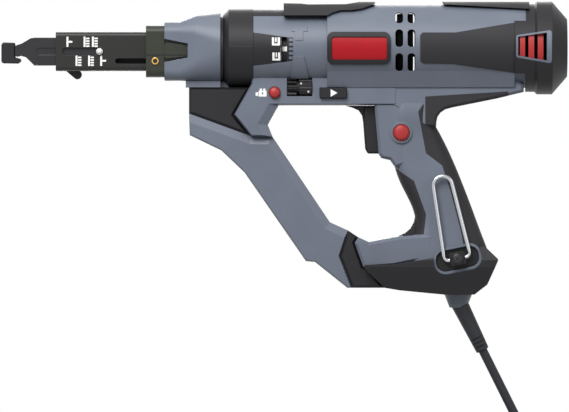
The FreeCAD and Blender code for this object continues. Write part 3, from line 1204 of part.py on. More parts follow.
# Spindle with planet pins, and the driver bit
BIT_FRONT = TIP_FRONT + mm.slide_stroke
bit_corner = mm.bit_flat / math.sqrt(3)
hexagon = []
for corner in range(HEX_SIDES):
    turn = 2 * math.pi * corner / HEX_SIDES
    hexagon.append((bit_corner * math.cos(turn), bit_corner * math.sin(turn)))
SPINDLE_FRONT = CASE_WALL_FRONT - mm.spindle_nose_length
bit_rear = SPINDLE_FRONT + mm.bit_socket_depth
BIT_LENGTH = (f"{CASE_REACH} - spindle_nose_length + bit_socket_depth - slide_stroke + cone_length + "
              "holder_length + slide_reach + leg_front + nose_neck_length + tip_length")
bit_bar = bar("bit_bar", hexagon, BIT_FRONT, BIT_LENGTH)
point_profile = [(BIT_FRONT + along * mm.bit_flat, out * mm.bit_flat) for along, out in BIT_POINT_SHARES]
shoulder = BIT_FRONT + BIT_SHOULDER_SHARE * mm.bit_flat
bit_point = turned("bit_point", [(BIT_FRONT, 0), *point_profile, (shoulder, bit_corner),
                                 (bit_rear, bit_corner), (bit_rear, 0)])
keep(common("driver_bit", bit_bar, bit_point))
PLANET_ORBIT = (SUN_TEETH + PLANET_TEETH) * mm.gear_module / 2
spindle_body = turned("spindle_body", [
    (SPINDLE_FRONT, 0), (SPINDLE_FRONT, mm.spindle_nose_radius),
    (CASE_WALL_FRONT - mm.overrun, mm.spindle_nose_radius),
    (CASE_WALL_FRONT - mm.overrun, mm.spindle_journal), (CARRIER_FRONT, mm.spindle_journal),
    (CARRIER_FRONT, mm.carrier_radius), (CARRIER_REAR, mm.carrier_radius), (CARRIER_REAR, 0)])
pins = []
for planet in range(PLANET_COUNT):
    turn = 2 * math.pi * planet / PLANET_COUNT
    pin_place = Vector(CARRIER_REAR, PLANET_ORBIT * math.cos(turn), AXIS + PLANET_ORBIT * math.sin(turn))
    pins.append(rod(f"planet_pin_{planet}", "planet_pin", "gear_width + gear_side_gap", pin_place))
bit_socket = bar("bit_socket", hexagon, SPINDLE_FRONT, "bit_socket_depth")
keep(cut("spindle", fuse("spindle_with_pins", spindle_body, *pins), bit_socket))

# Planetary gears: teeth of sun and ring face gaps of each planet
PITCH = math.pi * mm.gear_module
sun_pitch = SUN_TEETH * mm.gear_module / 2
planet_pitch = PLANET_TEETH * mm.gear_module / 2
ring_pitch = RING_TEETH * mm.gear_module / 2
sun_points = gear_points(SUN_TEETH, mm.gear_module, ADDENDUM_SHARE, DEDENDUM_SHARE, mm.gear_backlash, 0.0)
sun = bar("sun", sun_points, GEARS_FRONT, "gear_width")
for planet in range(PLANET_COUNT):
    turn = 2 * math.pi * planet / PLANET_COUNT
    phase = turn + math.pi - (sun_pitch * (0 - turn) + PITCH / 2) / planet_pitch
    teeth = gear_points(PLANET_TEETH, mm.gear_module, ADDENDUM_SHARE, DEDENDUM_SHARE, mm.gear_backlash, phase)
    wheel_y = PLANET_ORBIT * math.cos(turn)
    wheel_z = AXIS + PLANET_ORBIT * math.sin(turn)
    wheel = bar(f"planet_wheel_{planet}", teeth, GEARS_FRONT, "gear_width", wheel_y, wheel_z)
    bore = rod(f"planet_bore_{planet}", "planet_pin + shaft_gap", "gear_width + 2 * overrun",
               Vector(GEARS_FRONT - mm.overrun, wheel_y, wheel_z))
    keep(cut(f"planet_gear_{planet + 1}", wheel, bore))
ring_phase = planet_pitch * (math.pi - PITCH / 2 / planet_pitch) / ring_pitch
ring_points = gear_points(RING_TEETH, mm.gear_module, DEDENDUM_SHARE, ADDENDUM_SHARE, -mm.gear_backlash,
                          ring_phase)
ring_void = bar("ring_void", ring_points, GEARS_FRONT - mm.overrun, "gear_width + 2 * overrun")
ring_blank = rod("ring_blank", "ring_gear_radius", "gear_width", Vector(GEARS_FRONT, 0, AXIS))
keep(cut("ring_gear", ring_blank, ring_void))

# Armature with shaft, fan and commutator
shaft_rod = rod("shaft_rod", "motor_shaft",
                "barrel_length + cap_length - cap_wall + motor_bearing_length + shell_wall",
                Vector(GEARS_REAR, 0, AXIS))
keep(fuse("armature_shaft", shaft_rod, sun))
core_blank = rod("core_blank", "armature_radius", "stator_length", Vector(STATOR_FRONT, 0, AXIS))
shaft_void = rod("shaft_void", "motor_shaft", "2 * barrel_length", Vector(SEAM - mm.cover_length, 0, AXIS))
keep(cut("armature_core", core_blank, shaft_void))
COMMUTATOR_FRONT = STATOR_REAR + mm.coil_overhang + mm.overrun
commutator_blank = rod("commutator_blank", "commutator_radius", "commutator_length",
                       Vector(COMMUTATOR_FRONT, 0, AXIS))
keep(cut("commutator", commutator_blank, shaft_void))
FAN_FRONT = SEAM + VENT_LENGTH_SHARES[0][0] * mm.barrel_length
fan_hub = rod("fan_hub", "fan_hub", "fan_length", Vector(FAN_FRONT, 0, AXIS))
fan_disc = rod("fan_disc", "fan_radius", "blade_thickness",
               Vector(FAN_FRONT + mm.fan_length - mm.blade_thickness, 0, AXIS))
fan_blades = []
for blade in range(FAN_BLADES):
    turn = 2 * HALF_TURN * blade / FAN_BLADES
    plate = block(f"blade_{blade}", "fan_length", "blade_thickness", "fan_radius - motor_shaft", Vector())
    spin = Placement(Vector(FAN_FRONT, 0, AXIS), Rotation(Vector(1, 0, 0), turn))
    plate.Placement = spin.multiply(Placement(Vector(0, -mm.blade_thickness / 2, mm.motor_shaft), Rotation()))
    fan_blades.append(plate)
fan_edge = rod("fan_edge", "fan_radius", "fan_length", Vector(FAN_FRONT, 0, AXIS))
fan_body = fuse("fan_body", fan_hub, fan_disc, *fan_blades)
keep(cut("cooling_fan", common("fan_trim", fan_edge, fan_body), shaft_void))

# Stator, field coils, brushes and bearings
stator_blank = rod("stator_blank", "stator_radius", "stator_length", Vector(STATOR_FRONT, 0, AXIS))
stator_void = rod("stator_void", "stator_bore", "stator_length + 2 * coil_overhang + 2 * overrun",
                  Vector(STATOR_FRONT - mm.coil_overhang - mm.overrun, 0, AXIS))
keep(cut("stator_core", stator_blank, stator_void))
windings = []
for index, station in enumerate((STATOR_FRONT - mm.coil_overhang, STATOR_REAR)):
    band = rod(f"winding_{index}", "stator_radius - overrun", "coil_overhang", Vector(station, 0, AXIS))
    windings.append(cut(f"winding_ring_{index}", band, stator_void))
keep(group("field_coils", *windings))
brushes, boxes = [], []
BRUSH_FRONT = COMMUTATOR_FRONT + (mm.commutator_length - mm.brush_width) / 2
for index, side in enumerate((1, -1)):
    start = AXIS + side * (mm.commutator_radius + mm.shaft_gap)
    low = start if side > 0 else start - mm.brush_length
    brush = block(f"brush_{index}", "brush_width", "brush_width", "brush_length",
                  Vector(BRUSH_FRONT, -mm.brush_width / 2, low))
    brushes.append(brush)
    box_low = start + mm.overrun if side > 0 else AXIS - mm.barrel_radius - mm.barrel_rise
    box_outer = block(f"brush_box_{index}", "brush_width + 2 * brush_box", "brush_width + 2 * brush_box",
                      "barrel_radius + barrel_rise - commutator_radius - overrun",
                      Vector(BRUSH_FRONT - mm.brush_box, -mm.brush_width / 2 - mm.brush_box, box_low))
    boxes.append(box_outer)
keep(group("carbon_brushes", *brushes))
brush_shells = common("brush_shells", fuse("brush_boxes", *boxes), barrel_hollow)
keep(cut("brush_holders", brush_shells, *brushes))
bearings = []
for name, start, bore, outer, length in (
        ("spindle_bearing", BEARING_FRONT, "spindle_journal", "bearing_radius", "bearing_length"),
        ("front_bearing", MOTOR_BEARING, "motor_shaft", "motor_bearing_radius", "motor_bearing_length"),
        ("back_bearing", REAR_BEARING, "motor_shaft", "motor_bearing_radius", "motor_bearing_length")):
    race = rod(name + "_race", outer, length, Vector(start, 0, AXIS))
    race_bore = rod(name + "_bore", bore + " + shaft_gap", length + " + 2 * overrun",
                    Vector(start - mm.overrun, 0, AXIS))
    bearings.append(cut(name, race, race_bore))
keep(group("ball_bearings", *bearings))

# Depth ring and thumb wheel
depth_mark = rod("depth_mark", f"{DEPTH_RING_TEETH / 2 + ADDENDUM_SHARE} * depth_module", "depth_mark_length",
                 Vector(DEPTH_FRONT, 0, AXIS))
wheel_turn = math.atan2(WHEEL_Z - AXIS, WHEEL_Y)
depth_points = gear_points(DEPTH_RING_TEETH, mm.depth_module, ADDENDUM_SHARE, DEDENDUM_SHARE,
                           mm.depth_backlash, wheel_turn)
depth_teeth = bar("depth_teeth", depth_points, DEPTH_GEAR_FRONT, "depth_gear_length")
depth_bore = rod("depth_bore", "depth_ring_inner", "cover_length", Vector(DEPTH_FRONT - mm.overrun, 0, AXIS))
keep(cut("depth_ring", fuse("depth_body", depth_mark, depth_teeth), depth_bore))
wheel_phase = wheel_turn + math.pi + math.pi / DEPTH_WHEEL_TEETH
wheel_points = gear_points(DEPTH_WHEEL_TEETH, mm.depth_module, ADDENDUM_SHARE, DEDENDUM_SHARE,
                           mm.depth_backlash, wheel_phase)
wheel_teeth = bar("wheel_teeth", wheel_points, DEPTH_GEAR_FRONT, "depth_gear_length", WHEEL_Y, WHEEL_Z)
wheel_waist = rod("wheel_waist", f"{DEPTH_WHEEL_TEETH / 2 - DEDENDUM_SHARE} * depth_module", "depth_web",
                  Vector(DEPTH_REAR, WHEEL_Y, WHEEL_Z))
knurl = []
for tooth in range(2 * KNURL_TEETH):
    reach = mm.wheel_radius if tooth % 2 else mm.wheel_radius * KNURL_SHARE
    turn = math.pi * tooth / KNURL_TEETH
    knurl.append((reach * math.cos(turn), reach * math.sin(turn)))
wheel_knurl = bar("wheel_knurl", knurl, DEPTH_REAR + mm.depth_web, "wheel_length", WHEEL_Y, WHEEL_Z)
wheel_bore = rod("wheel_bore", "wheel_pin + shaft_gap", "cover_length",
                 Vector(DEPTH_GEAR_FRONT - mm.overrun, WHEEL_Y, WHEEL_Z))
keep(cut("depth_wheel", fuse("wheel_body", wheel_teeth, wheel_waist, wheel_knurl), wheel_bore))

# Trigger, lock, reverse and release controls
trigger_body = prism("trigger_body", trigger_points, "2 * trigger_half_width", mm.edge_chamfer,
                     "trigger_chamfer")
trigger_lip = prism("trigger_lip", lip_points, "2 * trigger_half_width - 2 * trigger_chamfer")
keep(fuse("trigger", trigger_body, trigger_lip))
LOCK_FACE = -mm.handle_half_width - mm.lock_rise
keep(rod("lock_button", "lock_radius", "lock_length", Vector(lock_x, LOCK_FACE, lock_z), Vector(0, 1, 0)))
lock_room = rod("lock_room", "lock_radius + running_gap", "lock_length + lock_travel + running_gap",
                Vector(lock_x, LOCK_FACE, lock_z), Vector(0, 1, 0))
keep(cut("switch_body", switch_box, lock_room))
reverse_bar = block("reverse_core", "reverse_length", "2 * frame_half_width + reverse_rise", "reverse_height",
                    Vector(reverse_x - mm.reverse_length / 2, -mm.frame_half_width - mm.reverse_rise,
                           reverse_z - mm.reverse_height / 2))
reverse_shoulder = block("reverse_shoulder", "reverse_length + 2 * small_chamfer",
                         "frame_half_width - 2 * shell_wall", "reverse_height + 2 * small_chamfer",
                         Vector(reverse_x - mm.reverse_length / 2 - mm.small_chamfer,
                                mm.shell_wall - mm.frame_half_width / 2,
                                reverse_z - mm.reverse_height / 2 - mm.small_chamfer))
keep(fuse("reverse_bar", reverse_bar, reverse_shoulder))
keep(rod("release_button", "release_radius", "release_length",
         Vector(release_x, -mm.frame_half_width - mm.release_rise, release_z), Vector(0, 1, 0)))

# Guide arm, guard, foot and base
arm_points = spots(ARM_SHARES)
arm = bevelled("arm", arm_points, mm.arm_half_width, mm.arm_bevel_depth, mm.small_chamfer, mm.arm_bevel,
               ARM_BEVEL_SIDES)
arm_room = prism("arm_room", inset(spots(ARM_ROOM_SHARES), mm.arm_wall), "2 * arm_half_width - 2 * arm_wall")
arm_mouth = prism("arm_mouth", spots(MOUTH_SHARES), "2 * arm_half_width - 2 * arm_wall")
arm_void = cut("arm_void", fuse("arm_rooms", arm_room, arm_mouth), *bosses[first_arm_screw:])
arm_shell = cut("arm_shell", arm, arm_void, *screw_holes[first_arm_screw:])
keep(common("guide_arm_left", arm_shell, left_side))
keep(common("guide_arm_right", arm_shell, right_side))
guard_block = prism("guard_block", spots(GUARD_SHARES), "2 * guard_half_width", 0.0, "edge_chamfer")
keep(cut("strip_guard", guard_block, neck, arm, collar))
foot_block = prism("foot_block", spots(FOOT_SHARES), "2 * foot_half_width", 0.0, "edge_chamfer")
keep(cut("arm_foot", foot_block, arm, toe))
base_side = prism("base_side", spots(BASE_SHARES), "4 * base_half_width", mm.edge_chamfer)
base_widths = (mm.base_top_half_width, mm.base_half_width, mm.base_half_width, mm.base_floor_half_width)
base_edge = [(half, share * mm.base_depth) for half, share in zip(base_widths, BASE_LEVEL_SHARES)]
base_section = [(-half, level) for half, level in base_edge] + base_edge[::-1]
base_front = prism("base_front", base_section, "2 * mouth_reach", 0.0, None, "YZ_Plane")
base_form = common("base_form", base_side, base_front)
gland_x, gland_z = spot(*GLAND_SHARES)
CORD_HEADING = Vector(math.cos(CORD_LEAN), 0, -math.sin(CORD_LEAN))
GLAND_TOP = Vector(gland_x, 0, gland_z)
cord_hole = rod("cord_hole", "cord_radius", "base_wall + 4 * overrun",
                GLAND_TOP + Vector(0, 0, -mm.overrun), Vector(0, 0, 1))
base_room = prism("base_room", inset(spots(BASE_SHARES), mm.base_wall),
                  "2 * base_floor_half_width - 2 * base_wall")
keep(cut("handle_base", base_form, handle, toe, foot_block, base_room, cord_hole, recess, hook_way))

# Belt hook in its bracket
bracket_depth = mm.hook_depth - mm.recess_floor + 2 * mm.hook_wire
bracket = prism("bracket_block", round_box(mm.bracket_half_length, mm.bracket_half_height),
                "hook_depth - recess_floor + 2 * hook_wire", mm.edge_chamfer)
bracket.Placement = hook_place.multiply(Placement(
    Vector(0, -mm.recess_floor - bracket_depth / 2, 0), Rotation()))
hook_bore = rod("hook_bore", "hook_wire + shaft_gap", "2 * recess_half_length", Vector())
hook_bore.Placement = hook_place.multiply(Placement(
    Vector(-mm.recess_half_length, -mm.hook_depth, 0), Rotation(Vector(0, 0, 1), Vector(1, 0, 0))))
hook_screw = rod("hook_screw", "hook_screw_radius", "hook_wire", Vector())
hook_screw.Placement = hook_place.multiply(Placement(
    Vector(0, -mm.recess_floor - bracket_depth, 0), Rotation(Vector(0, 0, 1), Vector(0, -1, 0))))
keep(group("housing_screws", *screws, hook_screw))
plate_length = mm.recess_half_length - mm.hook_collar_wall - mm.running_gap
plate_height = mm.recess_half_height - mm.hook_collar_wall - mm.running_gap
recess_plate = prism("recess_plate_block", round_box(plate_length, plate_height), "recess_plate",
                     plate_height * FULL_ROUND_SHARE)
recess_plate.Placement = hook_place.multiply(Placement(
    Vector(0, -mm.recess_floor - mm.recess_plate / 2, 0), Rotation()))
keep(cut("hook_bracket", fuse("bracket_body", bracket, recess_plate), hook_bore))
hook_collar = prism("collar_block", round_box(mm.recess_half_length, mm.recess_half_height),
                    "hook_collar_length", recess_round)
hook_collar.Placement = hook_place.multiply(Placement(
    Vector(0, -mm.recess_floor - mm.hook_collar_length / 2, 0), Rotation()))
collar_room = prism("collar_room", round_box(mm.recess_half_length - mm.hook_collar_wall,
                                             mm.recess_half_height - mm.hook_collar_wall), "2 * hook_depth",
                    (mm.recess_half_height - mm.hook_collar_wall) * FULL_ROUND_SHARE)
collar_room.Placement = hook_place.multiply(Placement(Vector(0, -mm.recess_floor, 0), Rotation()))
keep(cut("hook_collar", hook_collar, collar_room))
span, top_span = mm.hook_half_span, mm.hook_top_half_span
left_run = bent_path([Vector(-mm.hook_foot + mm.hook_wire, 0, 0), Vector(-span, 0, 0),
                      Vector(-top_span, 0, mm.hook_height)], [mm.hook_bend])
right_run = bent_path([Vector(top_span, 0, mm.hook_height), Vector(span, 0, 0),
                       Vector(mm.hook_foot - mm.hook_wire, 0, 0)], [mm.hook_bend])
lean = Vector(span - top_span, 0, mm.hook_height).normalize()
crown = biarc(Vector(-top_span, 0, mm.hook_height), lean, Vector(top_span, 0, mm.hook_height),
              Vector(lean.x, 0, -lean.z))
belt_hook = tube("belt_hook", left_run + crown + right_run, mm.hook_wire)
belt_hook.Placement = hook_place.multiply(Placement(Vector(0, -mm.hook_depth, 0), Rotation()))
keep(belt_hook)

# Gland, boot and lead
gland_turn = Rotation(Vector(0, 0, 1), CORD_HEADING)
gland = doc.addObject("Part::Cone", "gland_cone")
gland.Placement = Placement(GLAND_TOP + Vector(0, 0, -mm.gland_length), Rotation())
bind(gland, Radius1="boot_radius", Radius2="gland_radius", Height="gland_length")
BOOT_START = GLAND_TOP + Vector(0, 0, -mm.gland_length / 2)
boot = doc.addObject("Part::Cone", "boot_cone")
boot.Placement = Placement(BOOT_START, gland_turn)
bind(boot, Radius1="boot_radius", Radius2="boot_end_radius", Height="boot_length")
boot_end = BOOT_START + CORD_HEADING * mm.boot_length
boot_bore = rod("boot_bore", "cord_radius", "boot_length + gland_length",
                BOOT_START - CORD_HEADING * mm.gland_length, CORD_HEADING)
keep(cut("cord_gland", gland, boot, boot_bore))
keep(cut("cord_boot", boot, boot_bore))

# Lead: down from the boot, along the floor and wound in two layers, out to in and back out
drop = (boot_end.z + mm.cord_floor_drop) / math.sin(CORD_LEAN)
landing = boot_end + CORD_HEADING * drop
coil_start = landing + Vector(0, mm.cord_run, 0)
lead_start = BOOT_START + CORD_HEADING * mm.gland_length
keep(tube("power_cord", bent_path([lead_start, landing, coil_start], [mm.cord_bend]), mm.cord_radius))


def winding(start, outer, pitch, half_turns):
    """Half-turn arcs of a coil that winds inwards, climbs in one half turn and winds outwards above."""
    edges = []
    side = -1
    centre = start + Vector(-outer, 0, 0)
    radius = outer
    point = Vector(start)
    for step in range(2 * half_turns + 1):
        climbing = step == half_turns
        end = centre + Vector(side * radius, 0, 0)
        end.z = point.z + (pitch if climbing else 0)
        if climbing:
            middle = Vector(centre.x, centre.y - side * radius, (point.z + end.z) / 2)
            rise = Vector(side, 0, CLIMB_SHARE * pitch / (math.pi * radius)).normalize()
            heading = Vector(0, -side, 0)
            edges += biarc(point, heading, middle, rise)
            edges += biarc(middle, rise, end, Vector(0, side, 0))
        else:
            middle = Vector(centre.x, centre.y - side * radius, point.z)
            edges.append(Part.Arc(point, middle, end).toShape())
        point = end
        change = -pitch / 2 if step < half_turns else pitch / 2
        centre = centre + Vector(-side * change, 0, 0)
        radius = radius + change
        side = -side
    return edges, point


coil_edges, coil_end = winding(coil_start, mm.coil_outer_radius, mm.coil_pitch, COIL_HALF_TURNS)
coil_heading = coil_edges[-1].tangentAt(coil_edges[-1].LastParameter)
tail_end = coil_end + coil_heading * mm.coil_tail
coil_edges.append(Part.LineSegment(coil_end, tail_end).toShape())
keep(tube("cord_coil", coil_edges, mm.cord_radius))

# Plug at the end of the coil
plug_turn = Rotation(Vector(1, 0, 0), coil_heading)
plug_block = doc.addObject("Part::Box", "plug_block")
plug_block.Placement = Placement(tail_end, plug_turn).multiply(
    Placement(Vector(0, -mm.plug_half_width, -mm.plug_half_height), Rotation()))
bind(plug_block, Length="plug_length", Width="2 * plug_half_width", Height="2 * plug_half_height")
plug_pieces = [plug_block]
for side in (-1, 1):
    prong = doc.addObject("Part::Box", f"prong_{side + 1}")
    prong.Placement = Placement(tail_end, plug_turn).multiply(Placement(
        Vector(mm.plug_length, side * mm.prong_half_gap - mm.prong_thickness / 2, -mm.prong_half_width),
        Rotation()))
    bind(prong, Length="prong_length", Width="prong_thickness", Height="2 * prong_half_width")
    plug_pieces.append(prong)
keep(group("mains_plug", *plug_pieces))

doc.recompute()
faults = []
for thing in doc.Objects:
    if "Invalid" in thing.State or "Error" in thing.State:
        faults.append(f"{thing.Label} {thing.State}")
for label, thing in nodes.items():
    if thing.Shape.isNull() or not thing.Shape.isValid() or not thing.Shape.Solids:
        faults.append(f"{label} has no valid solid")
if faults:
    raise RuntimeError("; ".join(faults))
os.makedirs("parts", exist_ok=True)
for label, thing in nodes.items():
    thing.Shape.exportStep(f"parts/{label}.step")
print(len(nodes), "nodes")
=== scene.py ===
"""Looks of a corded screwdriver for collated screws: finishes, printed marks, lead, plug and studio.

Lengths in the fields are millimetres in the frame of the CAD model. The origin is the centre of the grip,
+X runs along the drive axis to the rear cap, +Z is up and -Y is the left side.
"""

import json
import logging
import math
from dataclasses import dataclass
from enum import Enum
from itertools import product

import bpy
import numpy as np
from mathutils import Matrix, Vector

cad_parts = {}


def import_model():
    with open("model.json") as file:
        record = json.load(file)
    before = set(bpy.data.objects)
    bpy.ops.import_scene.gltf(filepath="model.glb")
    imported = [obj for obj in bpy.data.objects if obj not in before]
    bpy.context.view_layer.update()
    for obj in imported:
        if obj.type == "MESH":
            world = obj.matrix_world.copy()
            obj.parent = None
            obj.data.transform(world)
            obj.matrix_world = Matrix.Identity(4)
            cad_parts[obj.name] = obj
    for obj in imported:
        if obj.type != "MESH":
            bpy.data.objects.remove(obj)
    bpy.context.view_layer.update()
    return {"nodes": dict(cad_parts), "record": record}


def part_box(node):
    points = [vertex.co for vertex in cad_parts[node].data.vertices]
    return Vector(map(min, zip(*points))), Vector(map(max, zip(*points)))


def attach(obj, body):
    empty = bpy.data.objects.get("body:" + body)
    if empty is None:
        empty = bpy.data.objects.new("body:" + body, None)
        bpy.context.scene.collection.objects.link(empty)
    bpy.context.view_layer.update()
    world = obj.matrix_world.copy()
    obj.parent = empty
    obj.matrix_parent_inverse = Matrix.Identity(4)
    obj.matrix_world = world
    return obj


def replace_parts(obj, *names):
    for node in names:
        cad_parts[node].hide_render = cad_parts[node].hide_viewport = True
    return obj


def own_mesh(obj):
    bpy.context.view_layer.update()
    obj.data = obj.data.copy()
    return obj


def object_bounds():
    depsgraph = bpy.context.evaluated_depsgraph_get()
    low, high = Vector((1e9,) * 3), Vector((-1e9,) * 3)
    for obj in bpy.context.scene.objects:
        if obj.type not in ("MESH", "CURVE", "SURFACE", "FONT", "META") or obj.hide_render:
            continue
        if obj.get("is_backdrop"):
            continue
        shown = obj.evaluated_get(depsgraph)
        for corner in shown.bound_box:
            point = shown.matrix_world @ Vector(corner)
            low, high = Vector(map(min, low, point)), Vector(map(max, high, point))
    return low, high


LOG = logging.getLogger("screwdriver")
MM = 0.001

# Soft clouds of colour and gloss that every finish has.
CLOUD_MM = 30.0
CLOUD_DETAIL = 3.0
CLOUD_LOW = 0.3
CLOUD_HIGH = 0.7
GLOSS_SHARE = 0.08

# Fine relief: brushed grain is this share as dense along X, and the rim rounds sharp edges in the light.
GRAIN_DETAIL = 2.0
BRUSH_SHARE = 0.05
RIM_SAMPLES = 6


class Grain(Enum):
    """Kinds of fine surface relief."""

    SMOOTH = "smooth"
    MOULDED = "moulded"
    BRUSHED = "brushed"


class Side(Enum):
    """Sides of the tool, with the sign of their Y."""

    LEFT = -1
    RIGHT = 1


def linear(code: str) -> tuple[float, float, float, float]:
    """Turn an sRGB hex colour into a linear one, by the sRGB curve.

    Args:
        code: six hex digits after a hash.

    Returns:
        Linear red, green, blue and an alpha of one.
    """
    parts = np.array([int(code[index:index + 2], 16) for index in (1, 3, 5)]) / 255
    low = parts / 12.92
    high = ((parts + 0.055) / 1.055) ** 2.4
    red, green, blue = np.where(parts <= 0.04045, low, high)
    return float(red), float(green), float(blue), 1.0


def add_node(tree: bpy.types.NodeTree, kind: str, links: dict | None = None, **settings) -> bpy.types.Node:
    """Add a shader node.

    Args:
        tree: node tree that gets the node.
        kind: type name of the node.
        links: input name to output socket or constant.
        settings: plain properties of the node.

    Returns:
        The new node.
    """
    node = tree.nodes.new(kind)
    for name, value in settings.items():
        setattr(node, name, value)
    for name, value in (links or {}).items():
        if isinstance(value, bpy.types.NodeSocket):
            tree.links.new(value, node.inputs[name])
        else:
            node.inputs[name].default_value = value
    return node


@dataclass(frozen=True)
class Finish:
    """A material's colour, gloss and fine relief."""

    name: str
    colour: str
    roughness: float
    metallic: float = 0.0
    grain: Grain = Grain.MOULDED
    grain_mm: float = 0.5
    depth_mm: float = 0.02
    tint_share: float = 0.06
    edge_mm: float = 0.5
    specular: float = 0.5

    def material(self) -> bpy.types.Material:
        """Build the procedural material, once.

        The colour wanders by the tint share over the size of a cloud, and the roughness with it. The relief
        is noise whose grain is stated in millimetres, on edges rounded by the edge radius.

        Returns:
            The material of this name.
        """
        found = bpy.data.materials.get(self.name)
        if found:
            return found
        material = bpy.data.materials.new(self.name)
        material.use_nodes = True
        tree = material.node_tree
        shader = tree.nodes["Principled BSDF"]
        place = add_node(tree, "ShaderNodeTexCoord").outputs["Object"]
        cloud = add_node(tree, "ShaderNodeTexNoise", {
            "Vector": place, "Scale": 1 / (CLOUD_MM * MM), "Detail": CLOUD_DETAIL}).outputs["Fac"]
        base = linear(self.colour)[:3]
        ramp = add_node(tree, "ShaderNodeValToRGB", {"Fac": cloud})
        darker, lighter = ramp.color_ramp.elements
        darker.position = CLOUD_LOW
        lighter.position = CLOUD_HIGH
        darker.color = tuple(value * (1 - self.tint_share) for value in base) + (1.0,)
        lighter.color = tuple(min(value * (1 + self.tint_share), 1.0) for value in base) + (1.0,)
        gloss = add_node(tree, "ShaderNodeMapRange", {
            "Value": cloud, "From Min": CLOUD_LOW, "From Max": CLOUD_HIGH,
            "To Min": self.roughness * (1 - GLOSS_SHARE),
            "To Max": min(self.roughness * (1 + GLOSS_SHARE), 1.0)})
        tree.links.new(ramp.outputs["Color"], shader.inputs["Base Color"])
        tree.links.new(gloss.outputs["Result"], shader.inputs["Roughness"])
        shader.inputs["Metallic"].default_value = self.metallic
        shader.inputs["Specular IOR Level"].default_value = self.specular
        rim = add_node(tree, "ShaderNodeBevel", {"Radius": self.edge_mm * MM}, samples=RIM_SAMPLES)
        tree.links.new(self.relief(tree, place, rim.outputs["Normal"]), shader.inputs["Normal"])
        return material

    def relief(self, tree: bpy.types.NodeTree, place: bpy.types.NodeSocket,
               normal: bpy.types.NodeSocket) -> bpy.types.NodeSocket:
        """Add the fine relief on top of a normal.

        Args:
            tree: node tree of the material.
            place: coordinates of the surface.
            normal: normal with rounded edges.

        Returns:
            The normal that the shader takes.
        """
        if self.grain is Grain.SMOOTH:
            return normal
        along = BRUSH_SHARE if self.grain is Grain.BRUSHED else 1.0
        spread = add_node(tree, "ShaderNodeMapping", {"Vector": place, "Scale": (along, 1.0, 1.0)})
        speck = add_node(tree, "ShaderNodeTexNoise", {
            "Vector": spread.outputs["Vector"], "Scale": 1 / (self.grain_mm * MM), "Detail": GRAIN_DETAIL})
        bump = add_node(tree, "ShaderNodeBump", {
            "Height": speck.outputs["Fac"], "Normal": normal, "Strength": 1.0,
            "Distance": self.depth_mm * MM})
        return bump.outputs["Normal"]


class Stuff(Enum):
    """Finishes of the tool, named for their materials, and a near-black one that is painted shade.

    Real mould and brush grain is finer: it is drawn at 0.3 to 0.8 mm, coarse enough to show close up.
    """

    # Moulded in a spark-eroded tool: an even slate grey with soft, slightly grainy highlights.
    HOUSING = Finish("glass filled nylon, slate grey", "#656c79", 0.42, grain_mm=0.45, depth_mm=0.015,
                     specular=0.4)
    # The same nylon in black: the light only shows on its edges and on faces that look up.
    BLACK = Finish("glass filled nylon, black", "#17171a", 0.48, grain_mm=0.45, depth_mm=0.02, specular=0.27)
    # A slippery plastic from a polished mould: dark grey with a thin, clear sheen.
    DARK = Finish("acetal, dark grey", "#1f1f1e", 0.38, grain_mm=0.6, depth_mm=0.01, specular=0.3)
    # The same plastic with a green cast, which shows where the light falls on it.
    OLIVE = Finish("acetal, dark olive", "#262920", 0.40, grain_mm=0.6, depth_mm=0.012, specular=0.33)
    # Soft rubber with a deep matt grain: broad, dull highlights.
    RUBBER = Finish("overmoulded rubber, black", "#222124", 0.62, grain_mm=0.7, depth_mm=0.04, specular=0.3)
    # Bright moulded buttons and louvres: a warm red with a small soft highlight.
    RED = Finish("nylon, red", "#a62a2a", 0.4, grain_mm=0.6, depth_mm=0.01, specular=0.4)
    # A flat plate, tinted right through: a deep, even red.
    BADGE = Finish("acrylic badge, red", "#a8121d", 0.4, grain=Grain.SMOOTH, specular=0.25)
    # Small moulded caps and dots: a clean off-white.
    WHITE = Finish("nylon, white", "#e6e6e2", 0.45, grain_mm=0.6, depth_mm=0.008)
    # Drawn wire with a bright plating: nearly a mirror, with fine lines along it.
    BRIGHT_STEEL = Finish("zinc plated steel", "#b2b4b8", 0.22, 1.0, Grain.BRUSHED, 0.3, 0.004, 0.03)
    # Ground after hardening: a duller grey metal with grinding lines.
    TOOL_STEEL = Finish("ground tool steel", "#9a9ca1", 0.34, 1.0, Grain.BRUSHED, 0.3, 0.006, 0.05)
    # Blackened in a hot bath: dark, with a faint metal glint.
    BLACK_STEEL = Finish("black oxide steel", "#2b2b2e", 0.36, 0.6, Grain.MOULDED, 0.4, 0.01, 0.08)
    # Stacked punched sheets: a dull grey metal with a stripe for each sheet.
    IRON = Finish("laminated iron", "#70727a", 0.5, 0.9, Grain.BRUSHED, 0.5, 0.02)
    # Turned bar: a warm yellow metal with turning lines.
    BRASS = Finish("brass", "#c9a35a", 0.3, 1.0, Grain.BRUSHED, 0.3, 0.005)
    # Varnished wire, wound side by side: orange-brown metal with a ridge for each turn.
    COPPER = Finish("enamelled copper", "#b8643a", 0.35, 1.0, Grain.BRUSHED, 0.8, 0.05)
    # Pressed powder: a dry dark grey without a highlight. It is also used as painted shade in the cross
    # recess of the hook's screw.
    CARBON = Finish("pressed carbon", "#262626", 0.7)
    # Painted shade: a near-black matt sheet for the dark insides behind the louvres and vents, which takes up
    # nearly all the light that reaches it.
    FELT = Finish("matt black felt", "#070707", 0.95, grain=Grain.SMOOTH, specular=0.05)
    # Extruded sheath: black with a blue cast and one soft line of light along it.
    CORD = Finish("cord rubber", "#202226", 0.55, grain_mm=0.5, depth_mm=0.02, specular=0.3)
    # Pad printed ink: a flat, even white.
    PRINT = Finish("printed ink, white", "#fbfbf9", 0.6, grain=Grain.SMOOTH, tint_share=0.0, edge_mm=0.05)


